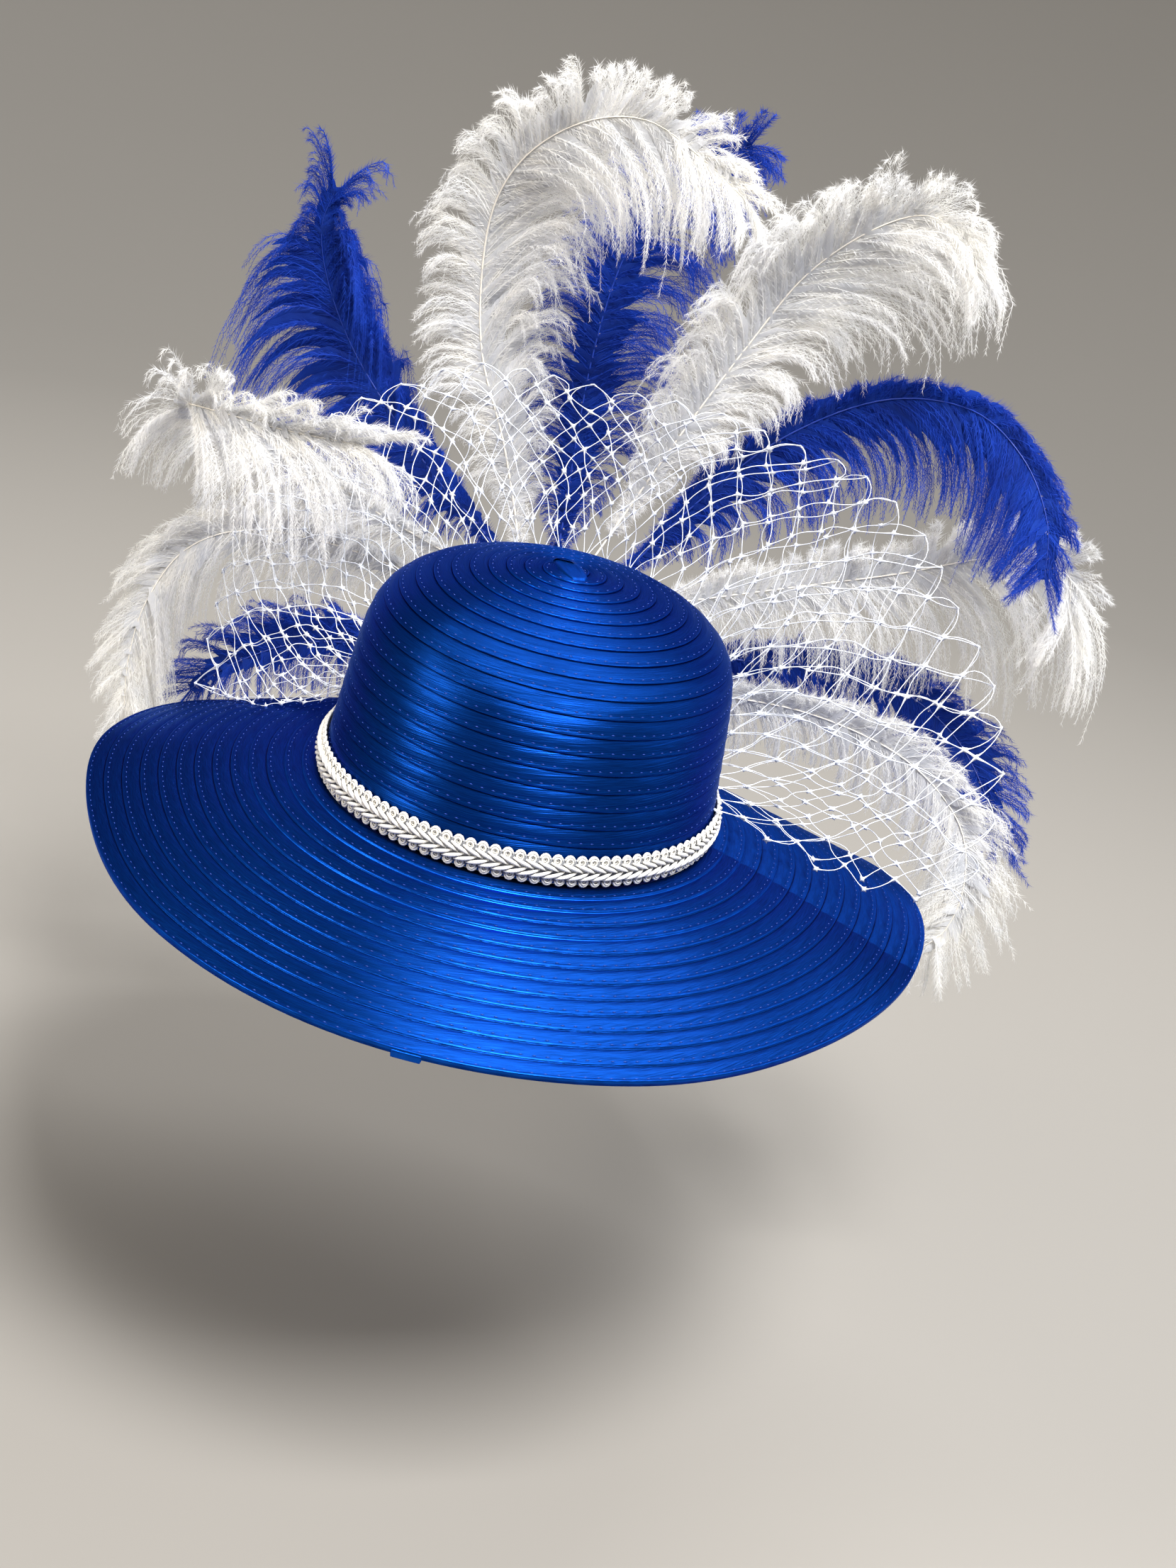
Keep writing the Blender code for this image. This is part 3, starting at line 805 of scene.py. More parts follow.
def ribbon_end(along, across):
    """A short tab under the wired edge, where the braid stops, with its two ends drawn in."""
    angle = TAB_FROM + (TAB_TO - TAB_FROM) * along
    turn = math.pi * across
    end = np.clip((np.abs(along * 2 - 1) - TAB_END_FROM) / (1 - TAB_END_FROM), 0, 1)
    share = TAB_INNER + (TAB_REACH - TAB_END_REACH * end) * np.abs(np.sin(turn)) ** TAB_SQUARE
    half = np.sign(np.cos(turn)) * np.abs(np.cos(turn)) ** TAB_SQUARE
    out = (TAB_THICK - TAB_END_THIN * end) * half - TAB_DROP
    points = brim_at(angle, (BRIM_ROWS - 1 + share) / BRIM_ROWS, out)
    # The map starts 2 mm in and runs past the row's width, so most of the tab takes the satin's full painted
    # highlight.
    return points, np.stack([2.0 + share * ROW_EXPOSED, along * TAB_LONG], axis=-1)


lap = finish_piece(laid_grid(32, 24, ribbon_end), "brim_ribbon_end", [satin], outward=False)

# %% [markdown]
# ## Stitches
# A lockstitch runs 1.7 mm inside each row's edge, with one stitch every 4.9 mm. A bump could draw it, but the
# exported mesh would have none. Each stitch is a short spindle of thread of eight faces, laid in its dip by
# the same functions that laid the ribbon.

# %% Stitches on crown and brim
STITCH_PITCH = 4.9
STITCH_HALF_LONG = 0.95
STITCH_HALF_WIDE = 0.28
STITCH_HALF_HIGH = 0.20
STITCH_OUT = -0.24
FEWEST_STITCHES = 6
SMALL_TURN = 0.002
BRIM_MEAN_REACH = 184.0
SPINDLE = [
    (STITCH_HALF_LONG, 0, 0), (-STITCH_HALF_LONG, 0, 0),
    (0, STITCH_HALF_WIDE, 0), (0, -STITCH_HALF_WIDE, 0),
    (0, 0, STITCH_HALF_HIGH), (0, 0, -STITCH_HALF_HIGH),
]
SPINDLE_FACES = [
    (0, 2, 4), (2, 1, 4), (1, 3, 4), (3, 0, 4), (2, 0, 5), (1, 2, 5), (3, 1, 5), (0, 3, 5),
]


def stitched(place, radius):
    """Spindles one stitch apart round one seam. place gives points from angles and a height."""
    count = max(FEWEST_STITCHES, round(math.tau * radius / STITCH_PITCH))
    angles = (np.arange(count) + 0.5) / count * math.tau
    here = place(angles, STITCH_OUT)
    ahead = place(angles + SMALL_TURN, STITCH_OUT)
    above = place(angles, STITCH_OUT + 1.0)
    return repeated(SPINDLE, SPINDLE_FACES, here, unit(ahead - here), unit(above - here))


def crown_seam(row):
    """One turn of the crown's seam, which winds down as the ribbon does."""
    def place(angle, out):
        run = (row - 1 + angle / math.tau + STITCH_SHARE) / CROWN_ROWS * CROWN_RUN
        return crown_at(angle, np.minimum(run, CROWN_RUN), out)

    middle_run = (row - 0.5 + STITCH_SHARE) / CROWN_ROWS * CROWN_RUN
    return stitched(place, np.interp(middle_run, line_run, line_radius) * (1 + OVAL) / 2)


def brim_seam(row):
    """The seam in one ring of the brim."""
    way = (row + STITCH_SHARE) / BRIM_ROWS
    mean_radius = HEAD_HALF_WIDTH * (1 + OVAL) / 2 * (1 - way) + BRIM_MEAN_REACH * way
    return stitched(lambda angle, out: brim_at(angle, np.full_like(angle, way), out), mean_radius)


for name, seams in (
    ("crown_stitches", [crown_seam(row) for row in range(1, CROWN_ROWS)]),
    ("brim_stitches", [brim_seam(row) for row in range(BRIM_ROWS)]),
):
    piece = add_piece(joined_mesh(name, seams), name, [sewing_thread])

# %% [markdown]
# ## Gimp trim
# French gimp is rayon cord worked into two mirrored rows of scrolls, with a plait down the middle. One repeat
# is 5.4 mm: on each side a ring with a coil inside it, a fat scallop round its outside, and one thick strand
# that slants in to the middle like a leaf. The two sides are half a repeat apart, which plaits the strands.
# The cords are swept tubes on a thin woven backing, because the light that each one catches is what tells
# gimp from a plain ribbon.

# %% Gimp
GIMP_PITCH = 5.4
GIMP_MIDDLE = 6.8
LEAF_LONG = 9.2
LEAF_RADIUS = 0.88
LEAF_HEIGHT = 3.2
LEAF_OUT = 1.5
LEAF_ARCH = 1.15
LOOP_HEIGHT = 3.8
BACKING_HALF_HIGH = 4.9
BACKING_FLAT = 0.06
BACKING_OUT = 0.45
ring_turn = np.linspace(0, math.tau, 13)
coil_turn = np.linspace(0, math.tau, 9)
scallop_turn = np.linspace(-1.35, 1.35, 7)
GIMP_LOOPS = table(
    "radius cord out sides turns",
    (1.40, 0.45, 1.55, 5, ring_turn),
    (0.68, 0.34, 1.15, 4, coil_turn),
    (2.20, 0.68 * (0.4 + 0.6 * np.cos(scallop_turn)), 1.05, 5, scallop_turn),
)
gimp_length = math.tau * (HEAD_HALF_WIDTH + 1.5) * math.sqrt((1 + OVAL ** 2) / 2)
GIMP_REPEATS = round(gimp_length / GIMP_PITCH)


def gimp_at(run, height, out):
    """Points round the crown's foot, by the run along the trim, the height on it and the way out."""
    angle = run / (GIMP_REPEATS * GIMP_PITCH) * math.tau
    z = GIMP_MIDDLE + height + 0.0 * angle
    half = crown_radius(z)
    off = GAP + out
    return np.stack([(half + off) * np.cos(angle), (half * OVAL + off) * np.sin(angle), z], axis=-1)


def gimp_ups(run):
    """Directions straight out from the crown round the trim."""
    angle = run / (GIMP_REPEATS * GIMP_PITCH) * math.tau
    return unit(np.stack([np.cos(angle) * OVAL, np.sin(angle), np.zeros_like(angle)], axis=-1))


leaf = np.linspace(0, 1, 8)
leaf_thick = LEAF_RADIUS * np.sin(math.pi * (0.10 + 0.82 * leaf)) ** 0.7
leaf_out = LEAF_OUT + LEAF_ARCH * np.sin(math.pi * (0.1 + 0.8 * leaf))
gimp_parts = []


def add_cords(run, height, out, thick, sides):
    """Adds one cord for every repeat, from arrays that give its run, height and height off the crown."""
    paths = gimp_at(run, np.broadcast_to(height, run.shape), out)
    gimp_parts.append(cords(paths, thick, gimp_ups(run), sides))


for side in (1, -1):
    starts = (np.arange(GIMP_REPEATS)[:, None] + 0.25 * side) * GIMP_PITCH
    add_cords(starts + leaf * LEAF_LONG, side * LEAF_HEIGHT * (1 - leaf) ** 0.85, leaf_out, leaf_thick, 6)
    middle = starts + 0.5 * GIMP_PITCH
    for loop in GIMP_LOOPS:
        height = side * (LOOP_HEIGHT + loop.radius * np.cos(loop.turns))
        add_cords(middle + loop.radius * np.sin(loop.turns), height, loop.out, loop.cord, loop.sides)
whole_round = np.linspace(0, GIMP_REPEATS * GIMP_PITCH, ROUND_STEPS + 1)[None]
backing_path = gimp_at(whole_round, 0.0, BACKING_OUT)
gimp_parts.append(cords(
    backing_path, BACKING_HALF_HIGH, gimp_ups(whole_round), 8, flat=BACKING_FLAT, material=1,
))
gimp = add_piece(joined_mesh("gimp_scrolls", gimp_parts), "gimp_scrolls", [gimp_cord, gimp_backing_painted_shade])
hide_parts("gimp_band")
print("gimp repeats:", GIMP_REPEATS)

# %% [markdown]
# ## Net
# Hat net is knotted from stiff nylon thread in diamonds, here 18.5 mm wide and about 23 mm tall. A length is
# folded in two, gathered along its raw edges at the crown's foot, and puffed up. So one sheet of knots runs
# from the foot over the fold and back to the foot. It could be a cloth simulation, but a stiff net holds the
# few large folds that it is given, so a surface is shaped first and strands are swept between its knots.

# %% The net's surface
NET_EDGE = table(
    "foot_angle foot_height edge_x edge_y edge_z",
    (2, 15, 197, 34, -5),
    (19, 16, 198, 48, 30),
    (36, 18, 188, 62, 66),
    (52, 24, 162, 76, 104),
    (66, 34, 116, 90, 144),
    (80, 44, 60, 100, 156),
    (94, 48, 8, 108, 156),
    (108, 48, -44, 112, 152),
    (122, 46, -90, 108, 144),
    (136, 38, -132, 98, 120),
    (148, 28, -160, 88, 82),
    (160, 20, -176, 80, 30),
    (171, 16, -172, 70, -27),
)
NET_BELLY_BACK = 0.08
NET_BELLY_UP = 0.10
NET_SAG = 8.0
NET_PUFF = 9.0
NET_OFF_CROWN = 1.1
NET_PUFF_AT_ENDS = 0.35
NET_PUFF_OUT = 0.35
NET_PUFF_UP = 0.45
WAVES_ADDED = 6


def wave_field(places, length, seed):
    """Smooth pseudo-random waves between about -1 and 1 at 3-D places, about that long."""
    draw = np.random.default_rng(seed)
    total = np.zeros(places.shape[:-1])
    for _ in range(WAVES_ADDED):
        way = unit(draw.normal(size=3))
        wave = length * draw.uniform(0.7, 1.4)
        total += np.sin(places @ way * math.tau / wave + draw.uniform(0, math.tau))
    return total * 2 / WAVES_ADDED


edge_places = np.linspace(0, len(NET_EDGE) - 1, FINE_STEPS + 1)
edge_steps = np.diff(along_rows(NET_EDGE, edge_places)[:, 2:5], axis=0)
edge_run = np.concatenate([[0.0], np.cumsum(np.linalg.norm(edge_steps, axis=1))])
print(f"net: its fold is {edge_run[-1]:.0f} mm long")


def net_at(round_share, fold_share):
    """Points on the net. fold_share is 0 at the front foot, 1 at the fold and 2 at the back foot."""
    row = along_rows(NET_EDGE, np.interp(round_share * edge_run[-1], edge_run, edge_places))
    angle = np.radians(row[..., 0])
    away = np.stack([np.cos(angle), np.sin(angle), np.zeros_like(angle)], axis=-1)
    half = crown_radius(row[..., 1])
    radius = 1.0 / np.sqrt((np.cos(angle) / half) ** 2 + (np.sin(angle) / (half * OVAL)) ** 2)
    foot = away * (radius + NET_OFF_CROWN)[..., None]
    foot[..., 2] = row[..., 1]
    edge = row[..., 2:5]
    way = 1.0 - np.abs(fold_share - 1.0)
    middle = np.sin(math.pi * way)
    dome = np.sin(math.pi * round_share)
    belly = np.linalg.norm(edge - foot, axis=-1) * middle * dome
    points = foot + (edge - foot) * way[..., None] + away * (belly * NET_BELLY_BACK)[..., None]
    points[..., 2] += belly * NET_BELLY_UP - NET_SAG * middle * (1 - dome)
    swell = NET_PUFF_AT_ENDS + (1 - NET_PUFF_AT_ENDS) * dome
    puff = NET_PUFF * np.sqrt(np.clip(1 - way ** 4, 0, 1)) * np.clip(way * 3, 0, 1) * swell
    layer = np.where(fold_share < 1.0, -1.0, 1.0)
    apart = unit(np.stack([
        NET_PUFF_OUT * away[..., 0], np.full_like(angle, -1.0), np.full_like(angle, NET_PUFF_UP),
    ], axis=-1))
    return points + apart * (layer * puff)[..., None]


# %% The net's knots, pulled and crumpled
NET_COLUMNS = 33
NET_LEVELS = 20
NET_CRUMPLE = 2.6
NET_CRUMPLE_LENGTH = 55.0
LAYER_SHIFT = 40
NET_PULL = 0.20
PULL_CELLS = 7.0
NET_SHIFT = 0.05
SHIFT_CELLS = 2.1
PLEATS = 26
PLEAT_DEEP = 3.0
NORMAL_STEP = 0.004

level, column = np.meshgrid(np.arange(NET_LEVELS + 1), np.arange(NET_COLUMNS + 1), indexing="ij")
knot_round = np.clip((column + 0.5 * (level % 2)) / NET_COLUMNS, 0, 1)
knot_fold = 2.0 * level / NET_LEVELS


def net_shape(round_share, fold_share):
    """The net's surface with uneven meshes, crumples, and pleats toward the foot."""
    way = 1.0 - np.abs(fold_share - 1.0)
    cell = np.stack([
        round_share * NET_COLUMNS, fold_share / 2 * NET_LEVELS, np.zeros_like(round_share),
    ], axis=-1)
    slack = np.clip(way * 3, 0, 1) * np.clip(np.sin(math.pi * round_share) * 8, 0, 1)
    pull = [
        NET_PULL * wave_field(cell, PULL_CELLS, seed) + NET_SHIFT * wave_field(cell, SHIFT_CELLS, seed + 2)
        for seed in (5, 6)
    ]
    round_share = round_share + slack * pull[0] / NET_COLUMNS
    fold_share = fold_share + slack * np.sin(math.pi * way) * pull[1] * 2 / NET_LEVELS
    points = net_at(round_share, fold_share)
    layered = points + fold_share[..., None] * LAYER_SHIFT
    shift = np.stack([wave_field(layered, NET_CRUMPLE_LENGTH, seed) for seed in (1, 2, 3)], axis=-1)
    points = points + shift * NET_CRUMPLE * np.clip(way * 2, 0, 1)[..., None]
    fold_in = PLEAT_DEEP * np.sin(round_share * PLEATS * math.tau + 2 * fold_share) ** 2
    fold_in = fold_in * np.clip(1 - way, 0, 1) ** 1.5 * np.clip(way * 6, 0, 1)
    middle = unit(points * np.array([1.0, 1.0, 0.0]))
    return points + middle * fold_in[..., None]


def net_normals(round_share, fold_share):
    """Directions square to the net."""
    ahead = net_shape(np.clip(round_share + NORMAL_STEP, 0, 1), fold_share)
    behind = net_shape(np.clip(round_share - NORMAL_STEP, 0, 1), fold_share)
    onward = net_shape(round_share, fold_share + NORMAL_STEP)
    back = net_shape(round_share, fold_share - NORMAL_STEP)
    return unit(np.cross(ahead - behind, onward - back))


knot_places = net_shape(knot_round.astype(float), knot_fold).reshape(-1, 3)
print("net knots:", len(knot_places))

# %% Strands
STRAND_POINTS = 6
STRAND_THIN = 0.21
STRAND_FLARE = 0.62
STRAND_FLAT = 0.7
STRAND_BOW = 0.06
FOLD_ROUND = 0.5

pairs = []
for step in (0, 1):
    odd = level[:-1] % 2
    target = column[:-1] + np.where(odd == 1, step, step - 1)
    kept = (target >= 0) & (target <= NET_COLUMNS)
    pairs.append((level[:-1][kept], column[:-1][kept], target[kept]))
low_level, low_column, high_column = (np.concatenate(each) for each in zip(*pairs))
along = np.linspace(0, 1, STRAND_POINTS)
fast = along + FOLD_ROUND * (np.sin(along * math.pi / 2) - along)
slow = along + FOLD_ROUND * (1 - np.cos(along * math.pi / 2) - along)
before_fold = low_level[:, None] == NET_LEVELS // 2 - 1
after_fold = low_level[:, None] == NET_LEVELS // 2
sideways = np.where(before_fold, slow, np.where(after_fold, fast, along))
upward = np.where(before_fold, fast, np.where(after_fold, slow, along))
start_round = knot_round[low_level, low_column][:, None]
end_round = knot_round[low_level + 1, high_column][:, None]
bow = np.random.default_rng(SEED).normal(0, STRAND_BOW, (2, len(low_level), 1)) * np.sin(math.pi * along)
strand_round = start_round + (end_round - start_round) * sideways + bow[0] / NET_COLUMNS
strand_fold = 2.0 * (low_level[:, None] + upward) / NET_LEVELS + bow[1] * 2 / NET_LEVELS
strand_paths = net_shape(strand_round, strand_fold)
strand_thick = STRAND_THIN + (STRAND_FLARE - STRAND_THIN) * np.abs(2 * along - 1) ** 8
strands = cords(strand_paths, strand_thick, net_normals(strand_round, strand_fold), 4, flat=STRAND_FLAT)
print("net strands:", len(strand_paths))

# %% Knots, and the net as one piece
KNOT_CORNERS = 8
KNOT_HALF = 1.75
KNOT_WAIST = 0.58
KNOT_HALF_HIGH = 0.5
KNOT = [(0, 0, KNOT_HALF_HIGH), (0, 0, -KNOT_HALF_HIGH)]
KNOT_FACES = []
for corner in range(KNOT_CORNERS):
    reach = KNOT_HALF * (1 if corner % 2 == 0 else KNOT_WAIST)
    turn = corner * math.tau / KNOT_CORNERS
    KNOT.append((reach * math.cos(turn), reach * math.sin(turn), 0))
    here = 2 + corner
    beside = 2 + (corner + 1) % KNOT_CORNERS
    KNOT_FACES += [(here, beside, 0), (beside, here, 1)]
knot_up = net_normals(knot_round.astype(float), knot_fold).reshape(-1, 3)
next_places = net_shape(knot_round + 0.25 / NET_COLUMNS, knot_fold + 1.0 / NET_LEVELS).reshape(-1, 3)
knot_forward = unit(next_places - knot_places)
knot_forward = unit(knot_forward - knot_up * (knot_forward * knot_up).sum(-1, keepdims=True))
knots = repeated(KNOT, KNOT_FACES, knot_places, knot_forward, knot_up)
net = add_piece(joined_mesh("hat_net", [strands, knots]), "hat_net", [net_thread])
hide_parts("net_veil")

# %% [markdown]
# ## Plumes
# An ostrich plume has one quill, barbs on both sides of it, and long loose barbules on every barb. Barbs
# close on each other in wisps, wisps lie together in waves, and all of them arch up from the quill and droop
# at their ends. Where the quill grows thin at its tip, they sweep on and fan out into a tuft. Hair curves
# would render as well, but the part has to export as meshes. Barbs are thin ribbons, barbules are single
# narrow triangles, and a low web under each wave stands for the barbs that are too many to draw.

# %% Each plume's habit
# leans: how far barbs slant up the quill, on its left and its right side, seen from the front.
# sweep and fan: how much more they slant at the tip, and how unevenly.
# tilts and falls: how far barbs stand to the front, and how far their ends hang, on each side.
# tuft and zone: the length of the barbs at the very tip, and of the stretch that counts as tip, in mm.
# spacing: millimetres from barb to barb. gather: how far wisps close on their wave.
# web: the share of a wave that its web fills.
HABITS = table(
    "name leans sweep fan tilts falls tuft spacing gather web zone",
    ("white_far_left", (0.9, 0.8), 1.6, 0.4, (0.05, 0.05), (0.40, 0.40), 24, 0.54, 0.50, 0.38, 60),
    ("white_left", (1.2, 1.0), 1.6, 0.6, (0.25, 0.30), (0.34, 0.36), 36, 0.56, 0.55, 0.26, 110),
    ("white_top", (0.5, 0.75), 2.2, 0.3, (0.05, 0.05), (0.18, 0.18), 22, 0.54, 0.40, 0.42, 75),
    ("white_upper_right", (1.0, 0.9), 1.6, 0.15, (0.20, 0.10), (0.42, 0.12), 14, 0.52, 0.15, 0.38, 120),
    ("white_right", (0.6, 0.6), 1.6, 0.4, (0.05, 0.05), (0.30, 0.30), 22, 0.55, 0.40, 0.40, 55),
    ("white_low_right", (0.7, 0.7), 1.6, 0.4, (0.05, 0.05), (0.34, 0.34), 22, 0.57, 0.40, 0.40, 55),
    ("blue_low_left", (0.5, 0.5), 1.6, 0.4, (0.05, 0.05), (0.30, 0.30), 18, 0.54, 0.20, 0.50, 50),
    ("blue_upper_left", (0.9, 0.9), 0.9, 0.4, (0.05, 0.05), (0.72, 0.72), 36, 0.38, 0.10, 0.72, 45),
    ("blue_top", (0.35, 0.35), 1.6, 0.4, (0.05, 0.05), (0.12, 0.12), 20, 0.50, 0.05, 0.36, 55),
    ("blue_right", (1.0, 0.7), 0.8, 0.3, (0.05, 0.05), (0.36, 0.36), 18, 0.42, 0.05, 0.60, 35),
    ("blue_low_right", (0.5, 0.5), 1.6, 0.4, (0.05, 0.05), (0.30, 0.30), 18, 0.54, 0.20, 0.50, 50),
)
print("plumes:", len(HABITS))

# %% Each quill's line, and how far its locks reach on both sides
QUILL_COLUMNS = "x y z left_lock right_lock"
QUILLS = {
    "white_far_left": (
        (-70, 114, 36, 0, 0),
        (-130, 126, 40, 26, 24),
        (-178, 124, 36, 36, 28),
        (-206, 116, 20, 38, 28),
        (-218, 106, -8, 36, 26),
        (-220, 100, -36, 30, 22),
        (-216, 94, -60, 18, 14),
    ),
    "white_left": (
        (-64, 108, 52, 0, 0),
        (-116, 112, 66, 36, 22),
        (-160, 110, 82, 46, 20),
        (-190, 100, 92, 40, 18),
        (-204, 84, 98, 36, 22),
        (-197, 68, 103, 36, 50),
        (-176, 58, 106, 38, 62),
        (-148, 52, 108, 36, 54),
        (-112, 48, 112, 30, 32),
    ),
    "white_top": (
        (-46, 116, 66, 0, 0),
        (-66, 126, 110, 22, 40),
        (-86, 128, 148, 30, 62),
        (-94, 126, 186, 32, 74),
        (-93, 120, 218, 32, 68),
        (-80, 110, 244, 30, 54),
        (-56, 98, 264, 30, 54),
        (-28, 86, 272, 28, 48),
        (0, 76, 264, 24, 36),
        (22, 68, 254, 16, 20),
    ),
    "white_upper_right": (
        (-6, 116, 86, 0, 0),
        (14, 124, 140, 40, 36),
        (34, 124, 188, 50, 56),
        (50, 120, 222, 48, 84),
        (72, 112, 248, 38, 62),
        (94, 104, 262, 28, 32),
        (112, 96, 258, 18, 15),
        (124, 90, 244, 10, 12),
    ),
    "white_right": (
        (0, 118, 48, 0, 0),
        (44, 130, 66, 20, 26),
        (86, 142, 82, 26, 42),
        (126, 142, 100, 28, 52),
        (158, 136, 118, 28, 58),
        (182, 126, 130, 26, 58),
        (198, 116, 128, 22, 46),
        (204, 108, 112, 14, 26),
    ),
    "white_low_right": (
        (4, 116, 18, 0, 0),
        (58, 122, 24, 16, 18),
        (106, 124, 28, 20, 22),
        (152, 120, 22, 26, 26),
        (184, 112, 4, 28, 28),
        (196, 104, -20, 28, 28),
        (194, 96, -46, 26, 26),
        (176, 90, -64, 16, 18),
    ),
    "blue_low_left": (
        (-72, 112, 8, 0, 0),
        (-110, 122, -2, 20, 28),
        (-146, 126, -14, 20, 34),
        (-174, 122, -32, 18, 32),
        (-192, 116, -50, 12, 18),
    ),
    "blue_upper_left": (
        (-58, 124, 60, 0, 0),
        (-98, 136, 84, 28, 30),
        (-130, 144, 108, 46, 44),
        (-154, 146, 132, 56, 52),
        (-170, 144, 158, 42, 42),
        (-176, 138, 182, 16, 19),
        (-172, 134, 200, 26, 30),
    ),
    "blue_top": (
        (-30, 126, 62, 0, 0),
        (-36, 142, 112, 30, 36),
        (-40, 152, 156, 34, 44),
        (-38, 156, 198, 34, 46),
        (-28, 154, 230, 30, 42),
        (-10, 148, 254, 24, 34),
        (10, 140, 268, 16, 22),
    ),
    "blue_right": (
        (2, 122, 66, 0, 0),
        (30, 130, 112, 18, 32),
        (60, 132, 150, 20, 40),
        (98, 128, 178, 18, 42),
        (136, 118, 186, 17, 40),
        (164, 106, 174, 17, 34),
        (182, 96, 152, 17, 25),
        (188, 88, 130, 15, 17),
    ),
    "blue_low_right": (
        (8, 122, 34, 0, 0),
        (62, 146, 36, 16, 20),
        (104, 156, 42, 22, 24),
        (140, 156, 42, 26, 28),
        (170, 148, 32, 28, 28),
        (192, 136, 14, 26, 26),
        (206, 126, -8, 16, 18),
    ),
}

# %% The quill's seat on the crown
GATHER_X = -28.0
GATHER_HEIGHT = 24.0
QUILL_SEAT = {"white": 13.0, "blue": 19.0}
QUILL_OUT = 1.6
QUILL_FINE = 400


def quill_rows(tint, rows):
    """The plume's table with its seat on the crown's back put first."""
    first = rows[0]
    aim = Vector((first.x - GATHER_X, first.z - GATHER_HEIGHT)).normalized()
    x = GATHER_X + aim.x * QUILL_SEAT[tint]
    z = GATHER_HEIGHT + aim.y * QUILL_SEAT[tint]
    half = float(crown_radius(z))
    y = half * OVAL * math.sqrt(1 - (x / half) ** 2) + QUILL_OUT
    return np.array([(x, y, z, 0.0, 0.0)] + [tuple(row) for row in rows])


def quill_places(rows):
    """Fine places up a quill, counted in rows, and how many millimetres up it each one lies."""
    fine = np.linspace(1, len(rows) - 1, QUILL_FINE)
    spots = along_rows(rows, fine)[:, :3]
    return fine, np.concatenate([[0], np.cumsum(np.linalg.norm(np.diff(spots, axis=0), axis=1))])


def tip_share(at, length, habit):
    """0 up to the plume's tip zone, and rising to 1 at its tip."""
    return np.clip((at - length + habit.zone) / habit.zone, 0, 1)


# %% Paths that arch up and droop
FRONT = np.array([0.0, -1.0, 0.0])
UP = np.array([0.0, 0.0, 1.0])
DOWN = -UP
BARB_STEPS = 7
ROWS_AHEAD = 0.3
SHORTEST_BARB = 5.0
REACH_EASE = 0.16
BOW = 0.34
Traits = namedtuple("Traits", "long tilt lean arch curl")


def hanging_paths(rows, habit, at, turn, traits):
    """Paths that leave one side of a quill at places up it, arch up, and droop at their ends."""
    fine, run = quill_places(rows)
    place = np.interp(at, run, fine)
    base = along_rows(rows, place)
    ahead = along_rows(rows, np.minimum(place + ROWS_AHEAD, len(rows) - 1))
    behind = along_rows(rows, np.maximum(place - ROWS_AHEAD, 0))
    along = unit((ahead - behind)[:, :3])
    left = unit(np.cross(FRONT, along))
    tip = tip_share(at, run[-1], habit)
    lean = traits.lean + habit.sweep * tip ** 2
    lock = base[:, 3] if turn == 1 else base[:, 4]
    long = np.maximum(lock, SHORTEST_BARB + habit.tuft * tip ** 3) * traits.long
    way = unit(left * turn + along * lean[:, None] + FRONT * traits.tilt[:, None])[:, None]
    t = np.linspace(0, 1, BARB_STEPS)[None, :, None]
    arch = traits.arch[:, None, None]
    curl = traits.curl[:, None, None]
    hang = way * t * (1 + REACH_EASE * (1 - t)) + (along[:, None] * BOW + UP * arch) * (t - t ** 2)
    fall = (habit.falls[turn < 0] * (1 - tip))[:, None, None]
    hang = hang + DOWN * fall * t ** 2 + (DOWN - way) * curl * t ** 5
    return base[:, None, :3] + long[:, None, None] * hang, long


# %% Waves, wisps and barbs
WAVE_SPACING = 5.3
WISP_SPACING = 1.9
WAVE_LONG = 1.02
WAVE_TILT = 0.30
TIP_TILT = 0.2
ARCH = 0.22
FREE_SHARE = 0.18
FREE_CLING = 0.1
CLING = (0.3, 0.85)
TIP_GATHER = 0.45
WEB_FADE = 0.8
Locks = namedtuple("Locks", "waves wave_long web barbs barb_long")


def evenly(draw, length, spacing, stray):
    """Places up a quill, almost evenly spaced."""
    count = int(length / spacing)
    return (np.arange(count) + 0.5) * length / count + draw.normal(0, stray, count)


def nearest(at, others):
    """For each place the number of the nearest of the others."""
    return np.abs(at[:, None] - others[None]).argmin(axis=1)


def varied(draw, traits, picks, spread):
    """Traits of the picked parents, with some spread of their own."""
    count = len(picks)
    return Traits(
        traits.long[picks] * draw.normal(1.0, spread.long, count),
        traits.tilt[picks] + draw.normal(0, spread.tilt, count),
        traits.lean[picks] + draw.normal(0, spread.lean, count),
        traits.arch[picks] + draw.normal(0, spread.arch, count),
        traits.curl[picks] + np.abs(draw.normal(0, spread.curl, count)),
    )


